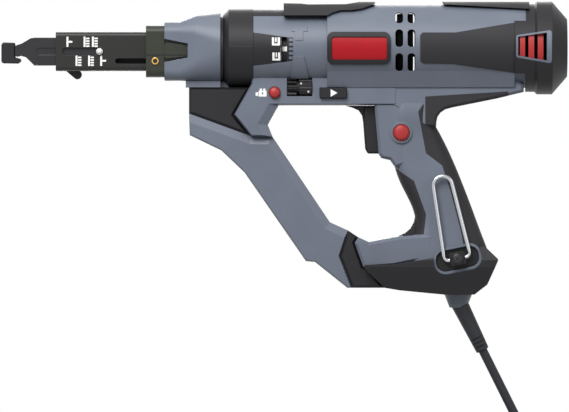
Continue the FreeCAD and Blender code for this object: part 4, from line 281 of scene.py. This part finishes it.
SLOT_STUFF = {
    "housing_plastic": Stuff.HOUSING,
    "black_plastic": Stuff.BLACK,
    "dark_plastic": Stuff.DARK,
    "olive_plastic": Stuff.OLIVE,
    "soft_rubber": Stuff.RUBBER,
    "red_plastic": Stuff.RED,
    "badge_red": Stuff.BADGE,
    "white_plastic": Stuff.WHITE,
    "bright_steel": Stuff.BRIGHT_STEEL,
    "tool_steel": Stuff.TOOL_STEEL,
    "black_steel": Stuff.BLACK_STEEL,
    "iron": Stuff.IRON,
    "brass_screw": Stuff.BRASS,
    "copper": Stuff.COPPER,
    "carbon": Stuff.CARBON,
    "cord_rubber": Stuff.CORD,
}


def mesh_object(name: str, points: np.ndarray, faces: np.ndarray, stuff: Stuff,
                smooth: bool = False) -> bpy.types.Object:
    """Make an object at the origin from whole arrays.

    Args:
        name: name of the object.
        points: corner points in millimetres, one row each.
        faces: corner numbers, one face to a row.
        stuff: finish of the object.
        smooth: whether its faces are shaded smooth.

    Returns:
        The object, linked into the scene.
    """
    mesh = bpy.data.meshes.new(name)
    mesh.from_pydata((np.asarray(points) * MM).tolist(), [], np.asarray(faces).tolist())
    mesh.update()
    mesh.polygons.foreach_set("use_smooth", np.full(len(mesh.polygons), smooth))
    mesh.materials.append(stuff.value.material())
    thing = bpy.data.objects.new(name, mesh)
    bpy.context.scene.collection.objects.link(thing)
    return thing


def grid_faces(rows: int, columns: int, wrap: bool = False) -> np.ndarray:
    """Number the quads of a grid of points.

    Args:
        rows: points along the first side.
        columns: points along the second side.
        wrap: whether the second side closes on itself.

    Returns:
        Four corner numbers to a row.
    """
    strips = columns if wrap else columns - 1
    row, column = np.meshgrid(np.arange(rows - 1), np.arange(strips), indexing="ij")
    after = (column + 1) % columns
    first = row * columns
    second = first + columns
    corners = [first + column, first + after, second + after, second + column]
    return np.stack([corner.ravel() for corner in corners], axis=1)


@dataclass(frozen=True)
class Surface:
    """Side face that a piece lies on: flat, or round about a line along X.

    The depth is how far the flat face, or the line, stands from the middle plane.
    """

    depth: float = 0.0
    radius: float = 0.0
    height: float = 0.0

    def depth_at(self, level: np.ndarray) -> np.ndarray:
        """Distance of the face from the middle plane.

        On a round face it is the depth of the line, and on top of it the square root of the radius squared
        less the height above the line squared.

        Args:
            level: heights in millimetres.

        Returns:
            Distances in millimetres.
        """
        if self.radius <= 0:
            return np.full_like(level, self.depth)
        return self.depth + np.sqrt(np.maximum(self.radius ** 2 - (level - self.height) ** 2, 0.0))


Bar = tuple[float, float, float, float]


@dataclass(frozen=True)
class Stamp:
    """A set of printed or moulded rectangles on one side face.

    Each bar holds its lowest X and Z, then its highest X and Z.
    """

    name: str
    body: str
    surface: Surface
    bars: tuple[Bar, ...]
    stuff: Stuff = Stuff.PRINT
    slot: str = "white_plastic"
    lift: float = 0.06
    rows: int = 5
    side: Side = Side.LEFT

    def build(self) -> bpy.types.Object:
        """Make the marks: each bar is a strip of quads a little proud of the face.

        Returns:
            One object that holds all the bars.
        """
        strips, faces = [], []
        for count, (low_x, low_z, high_x, high_z) in enumerate(self.bars):
            levels = np.linspace(low_z, high_z, self.rows)
            across, level = np.meshgrid([low_x, high_x], levels, indexing="ij")
            depth = self.side.value * (self.surface.depth_at(level) + self.lift)
            strips.append(np.stack([across, depth, level], axis=-1).reshape(-1, 3))
            faces.append(grid_faces(2, self.rows) + 2 * self.rows * count)
        thing = mesh_object(self.name, np.concatenate(strips), np.concatenate(faces), self.stuff)
        shell = thing.modifiers.new("thickness", "SOLIDIFY")
        shell.thickness = 2 * self.lift * MM
        shell.offset = 0.0
        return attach(thing, self.body)


@dataclass(frozen=True)
class Dome:
    """Round cap on a left face, or a thin disc where it has no rise."""

    name: str
    body: str
    x: float
    z: float
    face: float
    radius: float
    rise: float
    stuff: Stuff
    slot: str
    rim: float = 0.06
    rings: int = 8
    spokes: int = 40

    @classmethod
    def on(cls, node: str, body: str, share: float, rise: float, stuff: Stuff, slot: str) -> "Dome":
        """Lay a cap round the middle of a CAD node's left face.

        Args:
            node: CAD node that carries the cap.
            body: body that it moves with.
            share: radius as a share of half the node's length.
            rise: height of the cap.
            stuff: finish of the cap.
            slot: the record's slot for it.

        Returns:
            The cap, not built yet.
        """
        low, high = (np.array(corner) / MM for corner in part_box(node))
        middle = (low + high) / 2
        radius = share * (high[0] - low[0]) / 2
        return cls(f"{node}_cap", body, middle[0], middle[2], -low[1], radius, rise, stuff, slot)

    def build(self) -> bpy.types.Object:
        """Make the cap from rings of points.

        At the share s of its radius the cap stands off its face by the rim and the rise times one less s
        squared. Two more rings close it along the face.

        Returns:
            The cap.
        """
        share = np.linspace(0, 1, self.rings)
        lift = np.append(self.rim + self.rise * (1 - share ** 2), [0.0, 0.0])[:, None]
        share = np.append(share, [1.0, 0.0])[:, None]
        turn = np.linspace(0, 2 * np.pi, self.spokes, endpoint=False)[None, :]
        points = np.stack([self.x + self.radius * share * np.cos(turn),
                           np.repeat(-self.face - lift, self.spokes, axis=1),
                           self.z - self.radius * share * np.sin(turn)], axis=-1)
        faces = grid_faces(self.rings + 2, self.spokes, wrap=True)
        cap = mesh_object(self.name, points.reshape(-1, 3), faces, self.stuff, smooth=self.rise > 0)
        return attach(cap, self.body)


@dataclass
class Markings:
    """Printed scale, signs and pointer, a seam and painted shadow lines, caps of buttons and screws, painted
    shade in screw recesses, painted glints on the wheel and sheets of painted shade behind openings.
    """

    slide_face: float = 13.0
    holder_face: float = 17.6
    tongue_face: float = 18.8
    neck_face: float = 18.5
    bar_face: float = 21.7
    hook_face: float = 27.5
    case: Surface = Surface(0.0, 29.3, 100.0)
    collar: Surface = Surface(0.0, 29.8, 100.0)
    ring: Surface = Surface(0.0, 24.4, 97.5)
    wheel: Surface = Surface(13.5, 7.6, 70.5)
    upper_marks: tuple[float, ...] = (-272.2, -259.2, -252.9)
    lower_marks: tuple[float, ...] = (-265.3, -255.8, -246.6)
    upper_level: float = 100.9
    lower_level: float = 86.5
    mark_height: float = 7.8
    mark_line: float = 1.4
    mark_length: float = 4.4
    mark_ticks: int = 4
    tick_start_share: float = 1.3
    tick_line_share: float = 0.8
    sign_size: float = 6.0
    sign_places: tuple[tuple[float, float], ...] = ((-116.3, 101.8), (-116.0, 90.4))
    sign_shares: tuple[Bar, ...] = (
        (0.0, 0.0, 0.28, 1.0),
        (0.72, 0.0, 1.0, 1.0),
        (0.28, 0.0, 0.72, 0.24),
        (0.42, 0.42, 0.58, 1.0))
    padlock_place: tuple[float, float] = (-126.4, 63.2)
    padlock_shares: tuple[Bar, ...] = (
        (0.0, 0.0, 0.42, 0.74),
        (0.58, 0.0, 1.0, 0.74),
        (0.42, 0.0, 0.58, 0.24),
        (0.42, 0.56, 0.58, 0.74),
        (0.14, 0.74, 0.42, 1.0),
        (0.58, 0.74, 0.86, 1.0),
        (-0.38, 0.09, -0.07, 0.52))
    pointer: Bar = (-108.6, 97.4, -104.0, 101.0)
    window_edge: Bar = (-109.9, 86.4, -109.2, 109.8)
    tooth_length: float = 3.2
    tooth_pitch: float = 3.4
    tooth_share: float = 0.62
    tooth_start: tuple[float, float] = (-103.5, 91.3)
    tooth_count: int = 5
    arrow_start: tuple[float, float] = (-71.8, 65.9)
    arrow_length: float = 4.9
    arrow_half_height: float = 2.7
    arrow_steps: int = 12
    # Black lines painted as the shadow under the step of the holder and of its tongue.
    holder_seam: Bar = (-211.6, 94.4, -198.2, 95.2)
    tongue_seam: Bar = (-197.6, 94.4, -179.6, 95.2)
    collar_seam: Bar = (-148.6, 100.6, -131.0, 101.3)
    imprint: tuple[Bar, ...] = ((-101.8, 112.5, -89.3, 116.3), (-98.8, 105.6, -92.7, 112.5))
    imprint_rise: float = 0.2
    button_share: float = 0.92
    release_rise: float = 1.1
    lock_rise: float = 0.8
    pin_share: float = 0.85
    pin_rise: float = 0.2
    socket_shade_share: float = 0.62
    hook_screw: tuple[float, float] = (24.3, -59.77)
    screw_radius: float = 4.2
    screw_rise: float = 0.7
    cross_length: float = 4.6
    cross_width: float = 1.1
    # White spots on the thumb wheel are painted glints.
    glint_spots: tuple[tuple[float, float], ...] = ((-94.2, 72.9), (-88.6, 66.8))
    glint_radius: float = 0.8
    glint_rise: float = 0.3
    # Faces that carry the sheets of painted shade behind the louvres and the vents.
    louvre_shade_face: Surface = Surface(25.5)
    louvre_shade_bar: Bar = (68.0, 87.0, 96.0, 116.0)
    vent_shade_face: Surface = Surface(0.0, 27.5, 101.5)
    vent_shade_bar: Bar = (-21.3, 80.0, -9.3, 125.7)
    sheet_half: float = 0.3
    sheet_rows: int = 17

    def build(self) -> list[bpy.types.Object]:
        """Make every set of marks, every cap and the sheets of painted shade behind the openings.

        Returns:
            The pieces.
        """
        drafts = [*self.prints(), *self.mouldings(), *self.caps(), *self.screw_and_glints(), *self.sheets()]
        return [draft.build() for draft in drafts]

    def prints(self) -> list[Stamp]:
        """Lay out the printed scale, signs, pointer and arrow.

        Returns:
            The stamps, not built yet.
        """
        signs = tuple(bar for place in self.sign_places for bar in self.sign(place, self.sign_shares))
        padlock = self.sign(self.padlock_place, self.padlock_shares)
        return [Stamp("slide_scale", "feed", Surface(self.slide_face), self.scale()),
                Stamp("depth_signs", "tool_body", self.case, signs),
                Stamp("depth_pointer", "depth_setting", self.ring, (self.pointer,)),
                Stamp("padlock_sign", "tool_body", Surface(self.neck_face), padlock),
                Stamp("direction_arrow", "reverse", Surface(self.bar_face), self.arrow())]

    def mouldings(self) -> list[Stamp]:
        """Lay out the teeth of the depth window, the collar's seam, the painted shadow lines under the step
        of the holder and its tongue, and the raised mark of the gear cover.

        Returns:
            The stamps, not built yet.
        """
        left, low = self.tooth_start
        right = left + self.tooth_length
        height = self.tooth_share * self.tooth_pitch
        feet = [low + step * self.tooth_pitch for step in range(self.tooth_count)]
        teeth = tuple((left, foot, right, foot + height) for foot in feet)
        holder, tongue = Surface(self.holder_face), Surface(self.tongue_face)
        grey = (Stuff.HOUSING, "housing_plastic")
        black = (Stuff.BLACK, "black_plastic")
        return [Stamp("cover_teeth", "tool_body", self.case, teeth + (self.window_edge,), *grey),
                # Painted shadow: black lines under the step of the holder and its tongue.
                Stamp("holder_seam", "tool_body", holder, (self.holder_seam,), *black),
                Stamp("tongue_seam", "tool_body", tongue, (self.tongue_seam,), *black),
                Stamp("collar_seam", "tool_body", self.collar, (self.collar_seam,), Stuff.CARBON, "carbon"),
                Stamp("cover_imprint", "tool_body", self.case, self.imprint, *grey, self.imprint_rise)]

    def caps(self) -> list[Dome]:
        """Lay out the domes of the buttons and of the size pin, and a flat black disc of painted shade that
        stands for the socket in the holder's screw.

        Returns:
            The caps, not built yet.
        """
        red = (Stuff.RED, "red_plastic")
        white = (Stuff.WHITE, "white_plastic")
        black = (Stuff.BLACK, "black_plastic")
        return [Dome.on("release_button", "release", self.button_share, self.release_rise, *red),
                Dome.on("lock_button", "lock", self.button_share, self.lock_rise, *red),
                Dome.on("size_pin", "nose_pin", self.pin_share, self.pin_rise, *white),
                # Painted shade: a flat black disc on the holder's screw head stands for the dark inside its
                # socket.
                Dome.on("holder_screws", "tool_body", self.socket_shade_share, 0.0, *black)]

    def screw_and_glints(self) -> list[Dome | Stamp]:
        """Lay out the hook's screw head with its cross recess as painted shade, and the white spots on the
        thumb wheel, which are painted glints.

        Returns:
            The pieces, not built yet.
        """
        x, z = self.hook_screw
        near, far = self.cross_width / 2, self.cross_length / 2
        cross = ((x - far, z - near, x + far, z + near), (x - near, z - far, x + near, z + far))
        top = Surface(self.hook_face + self.screw_rise)
        # The cross is painted shade: a flat dark stamp stands for the recess in the screw head.
        drafts = [Dome("hook_screw_head", "tool_body", x, z, self.hook_face, self.screw_radius,
                       self.screw_rise, Stuff.BLACK_STEEL, "black_steel"),
                  Stamp("hook_screw_cross", "tool_body", top, cross, Stuff.CARBON, "carbon")]
        # Painted highlights: small white domes on the thumb wheel where the light glints.
        for number, (x, z) in enumerate(self.glint_spots):
            face = float(self.wheel.depth_at(np.array([z]))[0])
            drafts.append(Dome(f"wheel_dot_{number}", "thumb_wheel", x, z, face, self.glint_radius,
                               self.glint_rise, Stuff.WHITE, "white_plastic"))
        return drafts

    def sheets(self) -> list[Stamp]:
        """Lay out the near-black sheets of painted shade behind the louvres and behind the vents.

        Returns:
            The sheets, not built yet.
        """
        drafts = []
        for side in Side:
            painted_shade = (Stuff.FELT, "black_plastic", self.sheet_half, self.sheet_rows, side)
            name = side.name.lower()
            drafts += [
                # Near-black sheets that paint the shade inside the louvres and the vents.
                Stamp(f"louvre_screen_{name}", "tool_body", self.louvre_shade_face, (self.louvre_shade_bar,), *painted_shade),
                Stamp(f"vent_baffle_{name}", "tool_body", self.vent_shade_face, (self.vent_shade_bar,), *painted_shade)]
        return drafts

    def scale(self) -> tuple[Bar, ...]:
        """Lay out the screw-length scale: a line at each length with ticks, or one long tick at the two ends.

        Returns:
            The bars.
        """
        upper = [(left, self.upper_level) for left in self.upper_marks]
        lower = [(left, self.lower_level) for left in self.lower_marks]
        places = upper + lower
        bars: list[Bar] = []
        for number, (left, low) in enumerate(places):
            line = left + self.mark_line
            right = left + self.mark_length
            bars.append((left, low, line, low + self.mark_height))
            if number in (0, len(places) - 1):
                middle = low + self.mark_height / 2
                bars.append((line, middle - self.mark_line / 2, right, middle + self.mark_line / 2))
                continue
            start = left + self.tick_start_share * self.mark_line
            for step in range(self.mark_ticks):
                foot = low + step * self.mark_height / self.mark_ticks
                bars.append((start, foot, right, foot + self.tick_line_share * self.mark_line))
        return tuple(bars)

    def sign(self, place: tuple[float, float], shares: tuple[Bar, ...]) -> tuple[Bar, ...]:
        """Scale a sign's bars from shares of its size.

        Args:
            place: lower left corner of the sign.
            shares: bars as shares of the sign's size.

        Returns:
            The bars in millimetres.
        """
        bars = np.tile(np.array(place), 2) + np.array(shares) * self.sign_size
        return tuple(tuple(bar) for bar in bars.tolist())

    def arrow(self) -> tuple[Bar, ...]:
        """Lay out an arrow head in upright slices, whose height falls evenly to the point.

        Returns:
            The bars.
        """
        left, middle = self.arrow_start
        ends = np.linspace(0, 1, self.arrow_steps + 1).tolist()
        bars: list[Bar] = []
        for first, second in zip(ends[:-1], ends[1:]):
            half = self.arrow_half_height * (1 - first)
            bars.append((left + self.arrow_length * first, middle - half,
                         left + self.arrow_length * second, middle + half))
        return tuple(bars)


@dataclass
class ReturnSpring:
    """Coil spring behind the feed slide, built at one length: it does not shorten as the slide goes in."""

    front: float = -180.0
    seat: float = -108.1
    axis_height: float = 97.5
    radius: float = 11.0
    wire: float = 0.7
    turns: int = 12
    stroke: float = 42.0
    turn_steps: int = 28
    wire_spokes: int = 8

    def build(self) -> list[bpy.types.Object]:
        """Make the wire as a tube round a helix.

        With a as the turning angle the helix is x = front + rise * a, y = R cos a, z = axis + R sin a, and
        the tube's ring adds wire * cos b along the radius and wire * sin b along X.

        Returns:
            The spring alone.
        """
        angle = np.linspace(0, 2 * np.pi * self.turns, self.turn_steps * self.turns + 1)[:, None]
        around = np.linspace(0, 2 * np.pi, self.wire_spokes, endpoint=False)[None, :]
        share = angle / angle[-1]
        along = self.front + self.wire + share * (self.seat - self.front - 2 * self.wire)
        reach = self.radius + self.wire * np.cos(around)
        points = np.stack([along + self.wire * np.sin(around), np.cos(angle) * reach,
                           self.axis_height + np.sin(angle) * reach], axis=-1)
        faces = grid_faces(len(angle), self.wire_spokes, wrap=True)
        coil = mesh_object("spring_coil", points.reshape(-1, 3), faces, Stuff.BRIGHT_STEEL, smooth=True)
        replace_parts(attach(coil, "tool_body"), "return_spring")
        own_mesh(coil)
        return [coil]


@dataclass
class Lead:
    """Lead from the boot to the plug, wound in a flat coil of two layers."""

    length_m: float = 2.6
    radius: float = 3.4
    floor: float = -216.0
    gland: tuple[float, float, float] = (25.2, 0.0, -92.0)
    lean_deg: float = 63.5
    exit_run: float = 10.0
    boot_hold: float = 6.0
    free_run: float = 30.0
    bend: float = 35.1
    run: float = 40.0
    coil_radius: float = 63.0
    pitch: float = 7.4
    half_turns: int = 7
    turn_steps: int = 8
    tail: float = 38.0
    tail_share: float = 0.3
    smoothness: int = 4
    spokes: int = 48
    boot_length: float = 42.0
    boot_radius: float = 6.6
    boot_end_radius: float = 5.0
    boot_lip: float = 1.0
    boot_chamfer: float = 0.8
    slit_places: tuple[float, ...] = (3.7, 7.0, 10.3)
    slit_depth: float = 1.2
    slit_half_width: float = 0.55
    slit_wall: float = 0.01
    plug_length: float = 32.0
    plug_half_width: float = 13.0
    plug_half_height: float = 10.4
    plug_shares: tuple[tuple[float, float, float], ...] = (
        (0.0, 0.0, 0.0),
        (0.0, 0.36, 0.45),
        (0.12, 0.45, 0.52),
        (0.3, 0.86, 0.92),
        (0.45, 0.98, 1.0),
        (0.9, 1.0, 1.0),
        (1.0, 0.93, 0.93),
        (1.0, 0.0, 0.0))
    prong_length: float = 16.0
    prong_gap: float = 6.35
    prong_half_width: float = 0.75
    prong_half_height: float = 3.2
    prong_faces: tuple[tuple[int, int, int, int], ...] = (
        (0, 1, 3, 2), (4, 6, 7, 5), (0, 4, 5, 1), (2, 3, 7, 6), (0, 2, 6, 4), (1, 5, 7, 3))

    def heading(self) -> np.ndarray:
        """Direction in which the boot points, as a unit vector."""
        lean = math.radians(self.lean_deg)
        return np.array([math.cos(lean), 0.0, -math.sin(lean)])

    def route(self) -> tuple[np.ndarray, np.ndarray, np.ndarray]:
        """Lay out the control points of the lead.

        Half turns of radius r follow each other, and r changes by half the pitch from one to the next:
        inwards on the floor and outwards on the layer above. The half turn between the layers climbs by one
        pitch. Control points stand off the circle by the factor that brings the curve onto it.

        Returns:
            The control points, the point where the plug starts and the direction in which it points.
        """
        start = np.array(self.gland)
        heading = self.heading()
        boot_end = start + heading * self.boot_length
        landing = boot_end + heading * (boot_end[2] - self.floor) / -heading[2]
        stand_off = 2 / (1 + math.cos(math.pi / self.turn_steps / 2))
        turn = (np.arange(self.turn_steps) + 0.5) * np.pi / self.turn_steps
        pivot = landing - heading * self.bend + [0, self.bend, 0]
        quarter = turn[:self.turn_steps // 2, None]
        arc = pivot + self.bend * stand_off * (np.sin(quarter) * heading - np.cos(quarter) * [0, 1, 0])
        points = [start + heading * self.exit_run,
                  start + heading * (self.boot_length - self.boot_hold),
                  boot_end + heading * self.free_run,
                  *arc]
        centre = landing + [-self.coil_radius, self.run, 0]
        radius, side = self.coil_radius, 1
        level = self.floor
        share = turn / np.pi
        for half in range(2 * self.half_turns + 1):
            climbs = half == self.half_turns
            rise = self.pitch * (3 * share ** 2 - 2 * share ** 3) if climbs else 0 * share
            reach = side * radius * stand_off
            points += list(np.stack([centre[0] + reach * np.cos(turn), centre[1] + reach * np.sin(turn),
                                     level + rise], axis=1))
            level += self.pitch if climbs else 0
            change = -self.pitch / 2 if half < self.half_turns else self.pitch / 2
            centre = centre + [side * change, 0, 0]
            radius += change
            side = -side
        end = np.array([centre[0] + side * radius, centre[1], level])
        way = np.array([0.0, float(side), 0.0])
        plug = end + way * self.tail
        points += [end + way * self.tail_share * self.tail, plug + way * self.radius]
        return np.array(points), plug, way

    def build(self) -> list[bpy.types.Object]:
        """Returns:
            The lead, the plug's pieces and the boot.
        """
        points, plug_start, way = self.route()
        curve = bpy.data.curves.new("power_lead", "CURVE")
        curve.dimensions = "3D"
        spline = curve.splines.new("NURBS")
        spline.points.add(len(points) - 1)
        weighted = np.concatenate([points * MM, np.ones((len(points), 1))], axis=1)
        spline.points.foreach_set("co", weighted.ravel())
        spline.order_u = 3
        spline.use_endpoint_u = True
        spline.resolution_u = self.smoothness
        curve.bevel_depth = self.radius * MM
        curve.bevel_resolution = self.smoothness
        curve.use_fill_caps = True
        curve.materials.append(Stuff.CORD.value.material())
        lead = bpy.data.objects.new("power_lead", curve)
        bpy.context.scene.collection.objects.link(lead)
        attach(lead, "tool_body")
        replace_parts(lead, "power_cord", "cord_coil")
        plug = self.plug(plug_start, way)
        return [lead, *plug, self.boot()]

    def boot(self) -> bpy.types.Object:
        """Smooth boot with three slits in each side near its end.

        The radius falls evenly along the boot. In a slit it is less by the slit depth times the square of
        the cosine of the turning angle, so that a web stays at the top and at the bottom.

        Returns:
            The boot.
        """
        outer = self.slit_half_width + self.slit_wall
        slit = np.array([-outer, -self.slit_half_width, self.slit_half_width, outer])
        marks = [0.0, self.boot_lip, self.boot_length - self.boot_chamfer, self.boot_length]
        slits = [self.boot_length - place + slit for place in self.slit_places]
        along = np.unique(np.concatenate([marks, *slits]))
        slope = (self.boot_end_radius - self.boot_radius) / self.boot_length
        turn = np.linspace(0, 2 * np.pi, self.spokes, endpoint=False)
        radius = np.repeat((self.boot_radius + slope * along)[:, None], self.spokes, axis=1)
        radius[-1] -= self.boot_chamfer
        for place in self.slit_places:
            inside = np.abs(along - self.boot_length + place) < self.slit_half_width + self.slit_wall / 2
            radius[inside] -= self.slit_depth * np.cos(turn) ** 2
        across = np.array([0.0, 1.0, 0.0])
        up = np.cross(self.heading(), across)
        ring = np.cos(turn)[:, None] * across + np.sin(turn)[:, None] * up
        points = np.array(self.gland) + along[:, None, None] * self.heading() + radius[:, :, None] * ring
        root = points[0] - ring * (self.boot_radius - self.radius)
        mouth = points[-1] - ring * (radius[-1, 0] - self.radius)
        points = np.concatenate([[root], points, [mouth]]).reshape(-1, 3)
        faces = grid_faces(len(along) + 2, self.spokes, wrap=True)
        boot = mesh_object("lead_boot", points, faces, Stuff.CORD)
        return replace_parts(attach(boot, "tool_body"), "cord_boot")

    def plug(self, start: np.ndarray, way: np.ndarray) -> list[bpy.types.Object]:
        """Moulded plug with two blades.

        Sections across the lead are squared circles with |y/a|^4 + |z/b|^4 = 1. The table of shares holds
        each section's place along the plug and the shares of its half width and half height.

        Args:
            start: point where the lead enters the plug.
            way: direction in which the plug points.

        Returns:
            Body and blades.
        """
        shares = np.array(self.plug_shares)
        turn = np.linspace(0, 2 * np.pi, self.spokes, endpoint=False)
        side, rise = (np.sign(wave) * np.sqrt(np.abs(wave)) for wave in (np.cos(turn), np.sin(turn)))
        along = start + shares[:, :1] * self.plug_length * way
        points = np.repeat(along[:, None, :], self.spokes, axis=1)
        points[:, :, 0] += shares[:, 1:2] * self.plug_half_width * side
        points[:, :, 2] += shares[:, 2:3] * self.plug_half_height * rise
        faces = grid_faces(len(shares), self.spokes, wrap=True)
        body = mesh_object("plug_body", points.reshape(-1, 3), faces, Stuff.CORD)
        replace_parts(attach(body, "tool_body"), "mains_plug")
        face = start + way * self.plug_length
        half = np.array([self.prong_half_width, 0, self.prong_half_height])
        faces = np.array(self.prong_faces)
        blades = []
        for sign in (-1, 1):
            root = face + [sign * self.prong_gap, 0, 0]
            tip = root + way * self.prong_length
            points = np.array(list(product(*zip(root - half, tip + half))))
            blade = mesh_object(f"plug_blade_{sign + 1}", points, faces, Stuff.BRASS)
            blades.append(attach(blade, "tool_body"))
        return [body, *blades]


@dataclass(frozen=True)
class Panel:
    """Square soft light, with its width in metres and its power in watts."""

    name: str
    place: tuple[float, float, float]
    width_m: float
    power: float

    def build(self) -> None:
        """Hang the light at its place, turned to the origin."""
        lamp = bpy.data.lights.new(self.name, "AREA")
        lamp.size = self.width_m
        lamp.energy = self.power
        thing = bpy.data.objects.new(self.name, lamp)
        thing.location = Vector(self.place) * MM
        thing.rotation_euler = (-Vector(self.place)).to_track_quat("-Z", "Y").to_euler()
        bpy.context.scene.collection.objects.link(thing)
        thing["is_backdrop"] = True


@dataclass
class Studio:
    """Pale floor in a white room, soft lights and the camera."""

    floor: float = -219.6
    near: float = -3500.0
    far: float = 2000.0
    half_width: float = 4000.0
    paper: str = "#808080"
    glow: float = 0.88
    fill: float = 0.11
    white: tuple[float, float, float, float] = (1.0, 1.0, 1.0, 1.0)
    panels: tuple[Panel, ...] = (
        Panel("top_panel", (-200.0, -300.0, 1500.0), 1.6, 7.0),
        Panel("front_panel", (-700.0, -1600.0, 1450.0), 1.3, 57.0),
        Panel("side_panel", (1300.0, -1200.0, 500.0), 1.0, 5.0),
        Panel("back_panel", (-300.0, 1900.0, 500.0), 1.3, 22.0))
    camera_place: tuple[float, float, float] = (-106.8, -8000.0, -19.8)
    lens: float = 666.0
    sensor: float = 36.0
    sight: float = 40000.0

    def build(self) -> None:
        """Make floor, lights, world and camera, and set the plain view transform."""
        self.backdrop()
        for panel in self.panels:
            panel.build()
        self.world()
        self.camera()
        bpy.context.scene.view_settings.view_transform = "Standard"

    def backdrop(self) -> None:
        """Flat floor under the tool. It ends below the camera's frame, where the white room takes over."""
        sides = (-self.half_width, self.half_width)
        points = np.array([(*spot, self.floor) for spot in product(sides, (self.near, self.far))])
        sheet = mesh_object("backdrop", points, grid_faces(2, 2), Stuff.WHITE, smooth=True)
        paper = bpy.data.materials.new("white paper")
        paper.use_nodes = True
        tree = paper.node_tree
        shader = tree.nodes["Principled BSDF"]
        shader.inputs["Base Color"].default_value = linear(self.paper)
        shader.inputs["Roughness"].default_value = 1.0
        shader.inputs["Specular IOR Level"].default_value = 0.0
        shader.inputs["Emission Color"].default_value = self.white
        glow = add_node(tree, "ShaderNodeMath", operation="MULTIPLY")
        glow.inputs[1].default_value = self.glow
        tree.links.new(self.seen_white(tree), glow.inputs[0])
        tree.links.new(glow.outputs[0], shader.inputs["Emission Strength"])
        sheet.data.materials[0] = paper
        sheet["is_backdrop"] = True

    def world(self) -> None:
        """Room that is white to look at and lights the tool by the fill alone."""
        world = bpy.data.worlds.new("white room")
        bpy.context.scene.world = world
        world.use_nodes = True
        tree = world.node_tree
        level = add_node(tree, "ShaderNodeMapRange", {
            "Value": self.seen_white(tree), "To Min": self.fill, "To Max": 1.0})
        room = tree.nodes["Background"]
        room.inputs["Color"].default_value = self.white
        tree.links.new(level.outputs["Result"], room.inputs["Strength"])

    def seen_white(self, tree: bpy.types.NodeTree) -> bpy.types.NodeSocket:
        """Tell rays that look at the background from rays that only carry light.

        Args:
            tree: node tree of the world or of the floor.

        Returns:
            One for camera, glossy and transmission rays, and zero for the others.
        """
        ray = add_node(tree, "ShaderNodeLightPath").outputs
        mirror = add_node(tree, "ShaderNodeMath", operation="MAXIMUM")
        tree.links.new(ray["Is Glossy Ray"], mirror.inputs[0])
        tree.links.new(ray["Is Transmission Ray"], mirror.inputs[1])
        seen = add_node(tree, "ShaderNodeMath", operation="MAXIMUM")
        tree.links.new(ray["Is Camera Ray"], seen.inputs[0])
        tree.links.new(mirror.outputs[0], seen.inputs[1])
        return seen.outputs[0]

    def camera(self) -> None:
        """Long lens far off on the left, level and square to the tool."""
        eye = bpy.data.cameras.new("camera")
        eye.lens = self.lens
        eye.sensor_width = self.sensor
        eye.clip_end = self.sight * MM
        thing = bpy.data.objects.new("camera", eye)
        thing.location = Vector(self.camera_place) * MM
        thing.rotation_euler = (math.pi / 2, 0.0, 0.0)
        bpy.context.scene.collection.objects.link(thing)
        bpy.context.scene.camera = thing


def dress(frame: dict) -> None:
    """Give every CAD node the finish of its slot in the record.
    """
    for entry in frame["record"]["subparts"]:
        node = frame["nodes"][entry["node"]]
        node.data.materials.clear()
        node.data.materials.append(SLOT_STUFF[entry["material_slot"]].value.material())


def corners() -> list[list[float]]:
    """Measure the shown object.

    Returns:
        Lowest and highest corner in metres.
    """
    return [[float(value) for value in corner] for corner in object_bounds()]


def main() -> None:
    """Load the CAD frame, dress it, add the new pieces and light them."""
    logging.basicConfig(level=logging.INFO)
    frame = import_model()
    dress(frame)
    for maker in (Markings(), ReturnSpring(), Lead()):
        for piece in maker.build():
            LOG.info("made %s", piece.name)
    Studio().build()


if __name__ == "__main__":
    main()
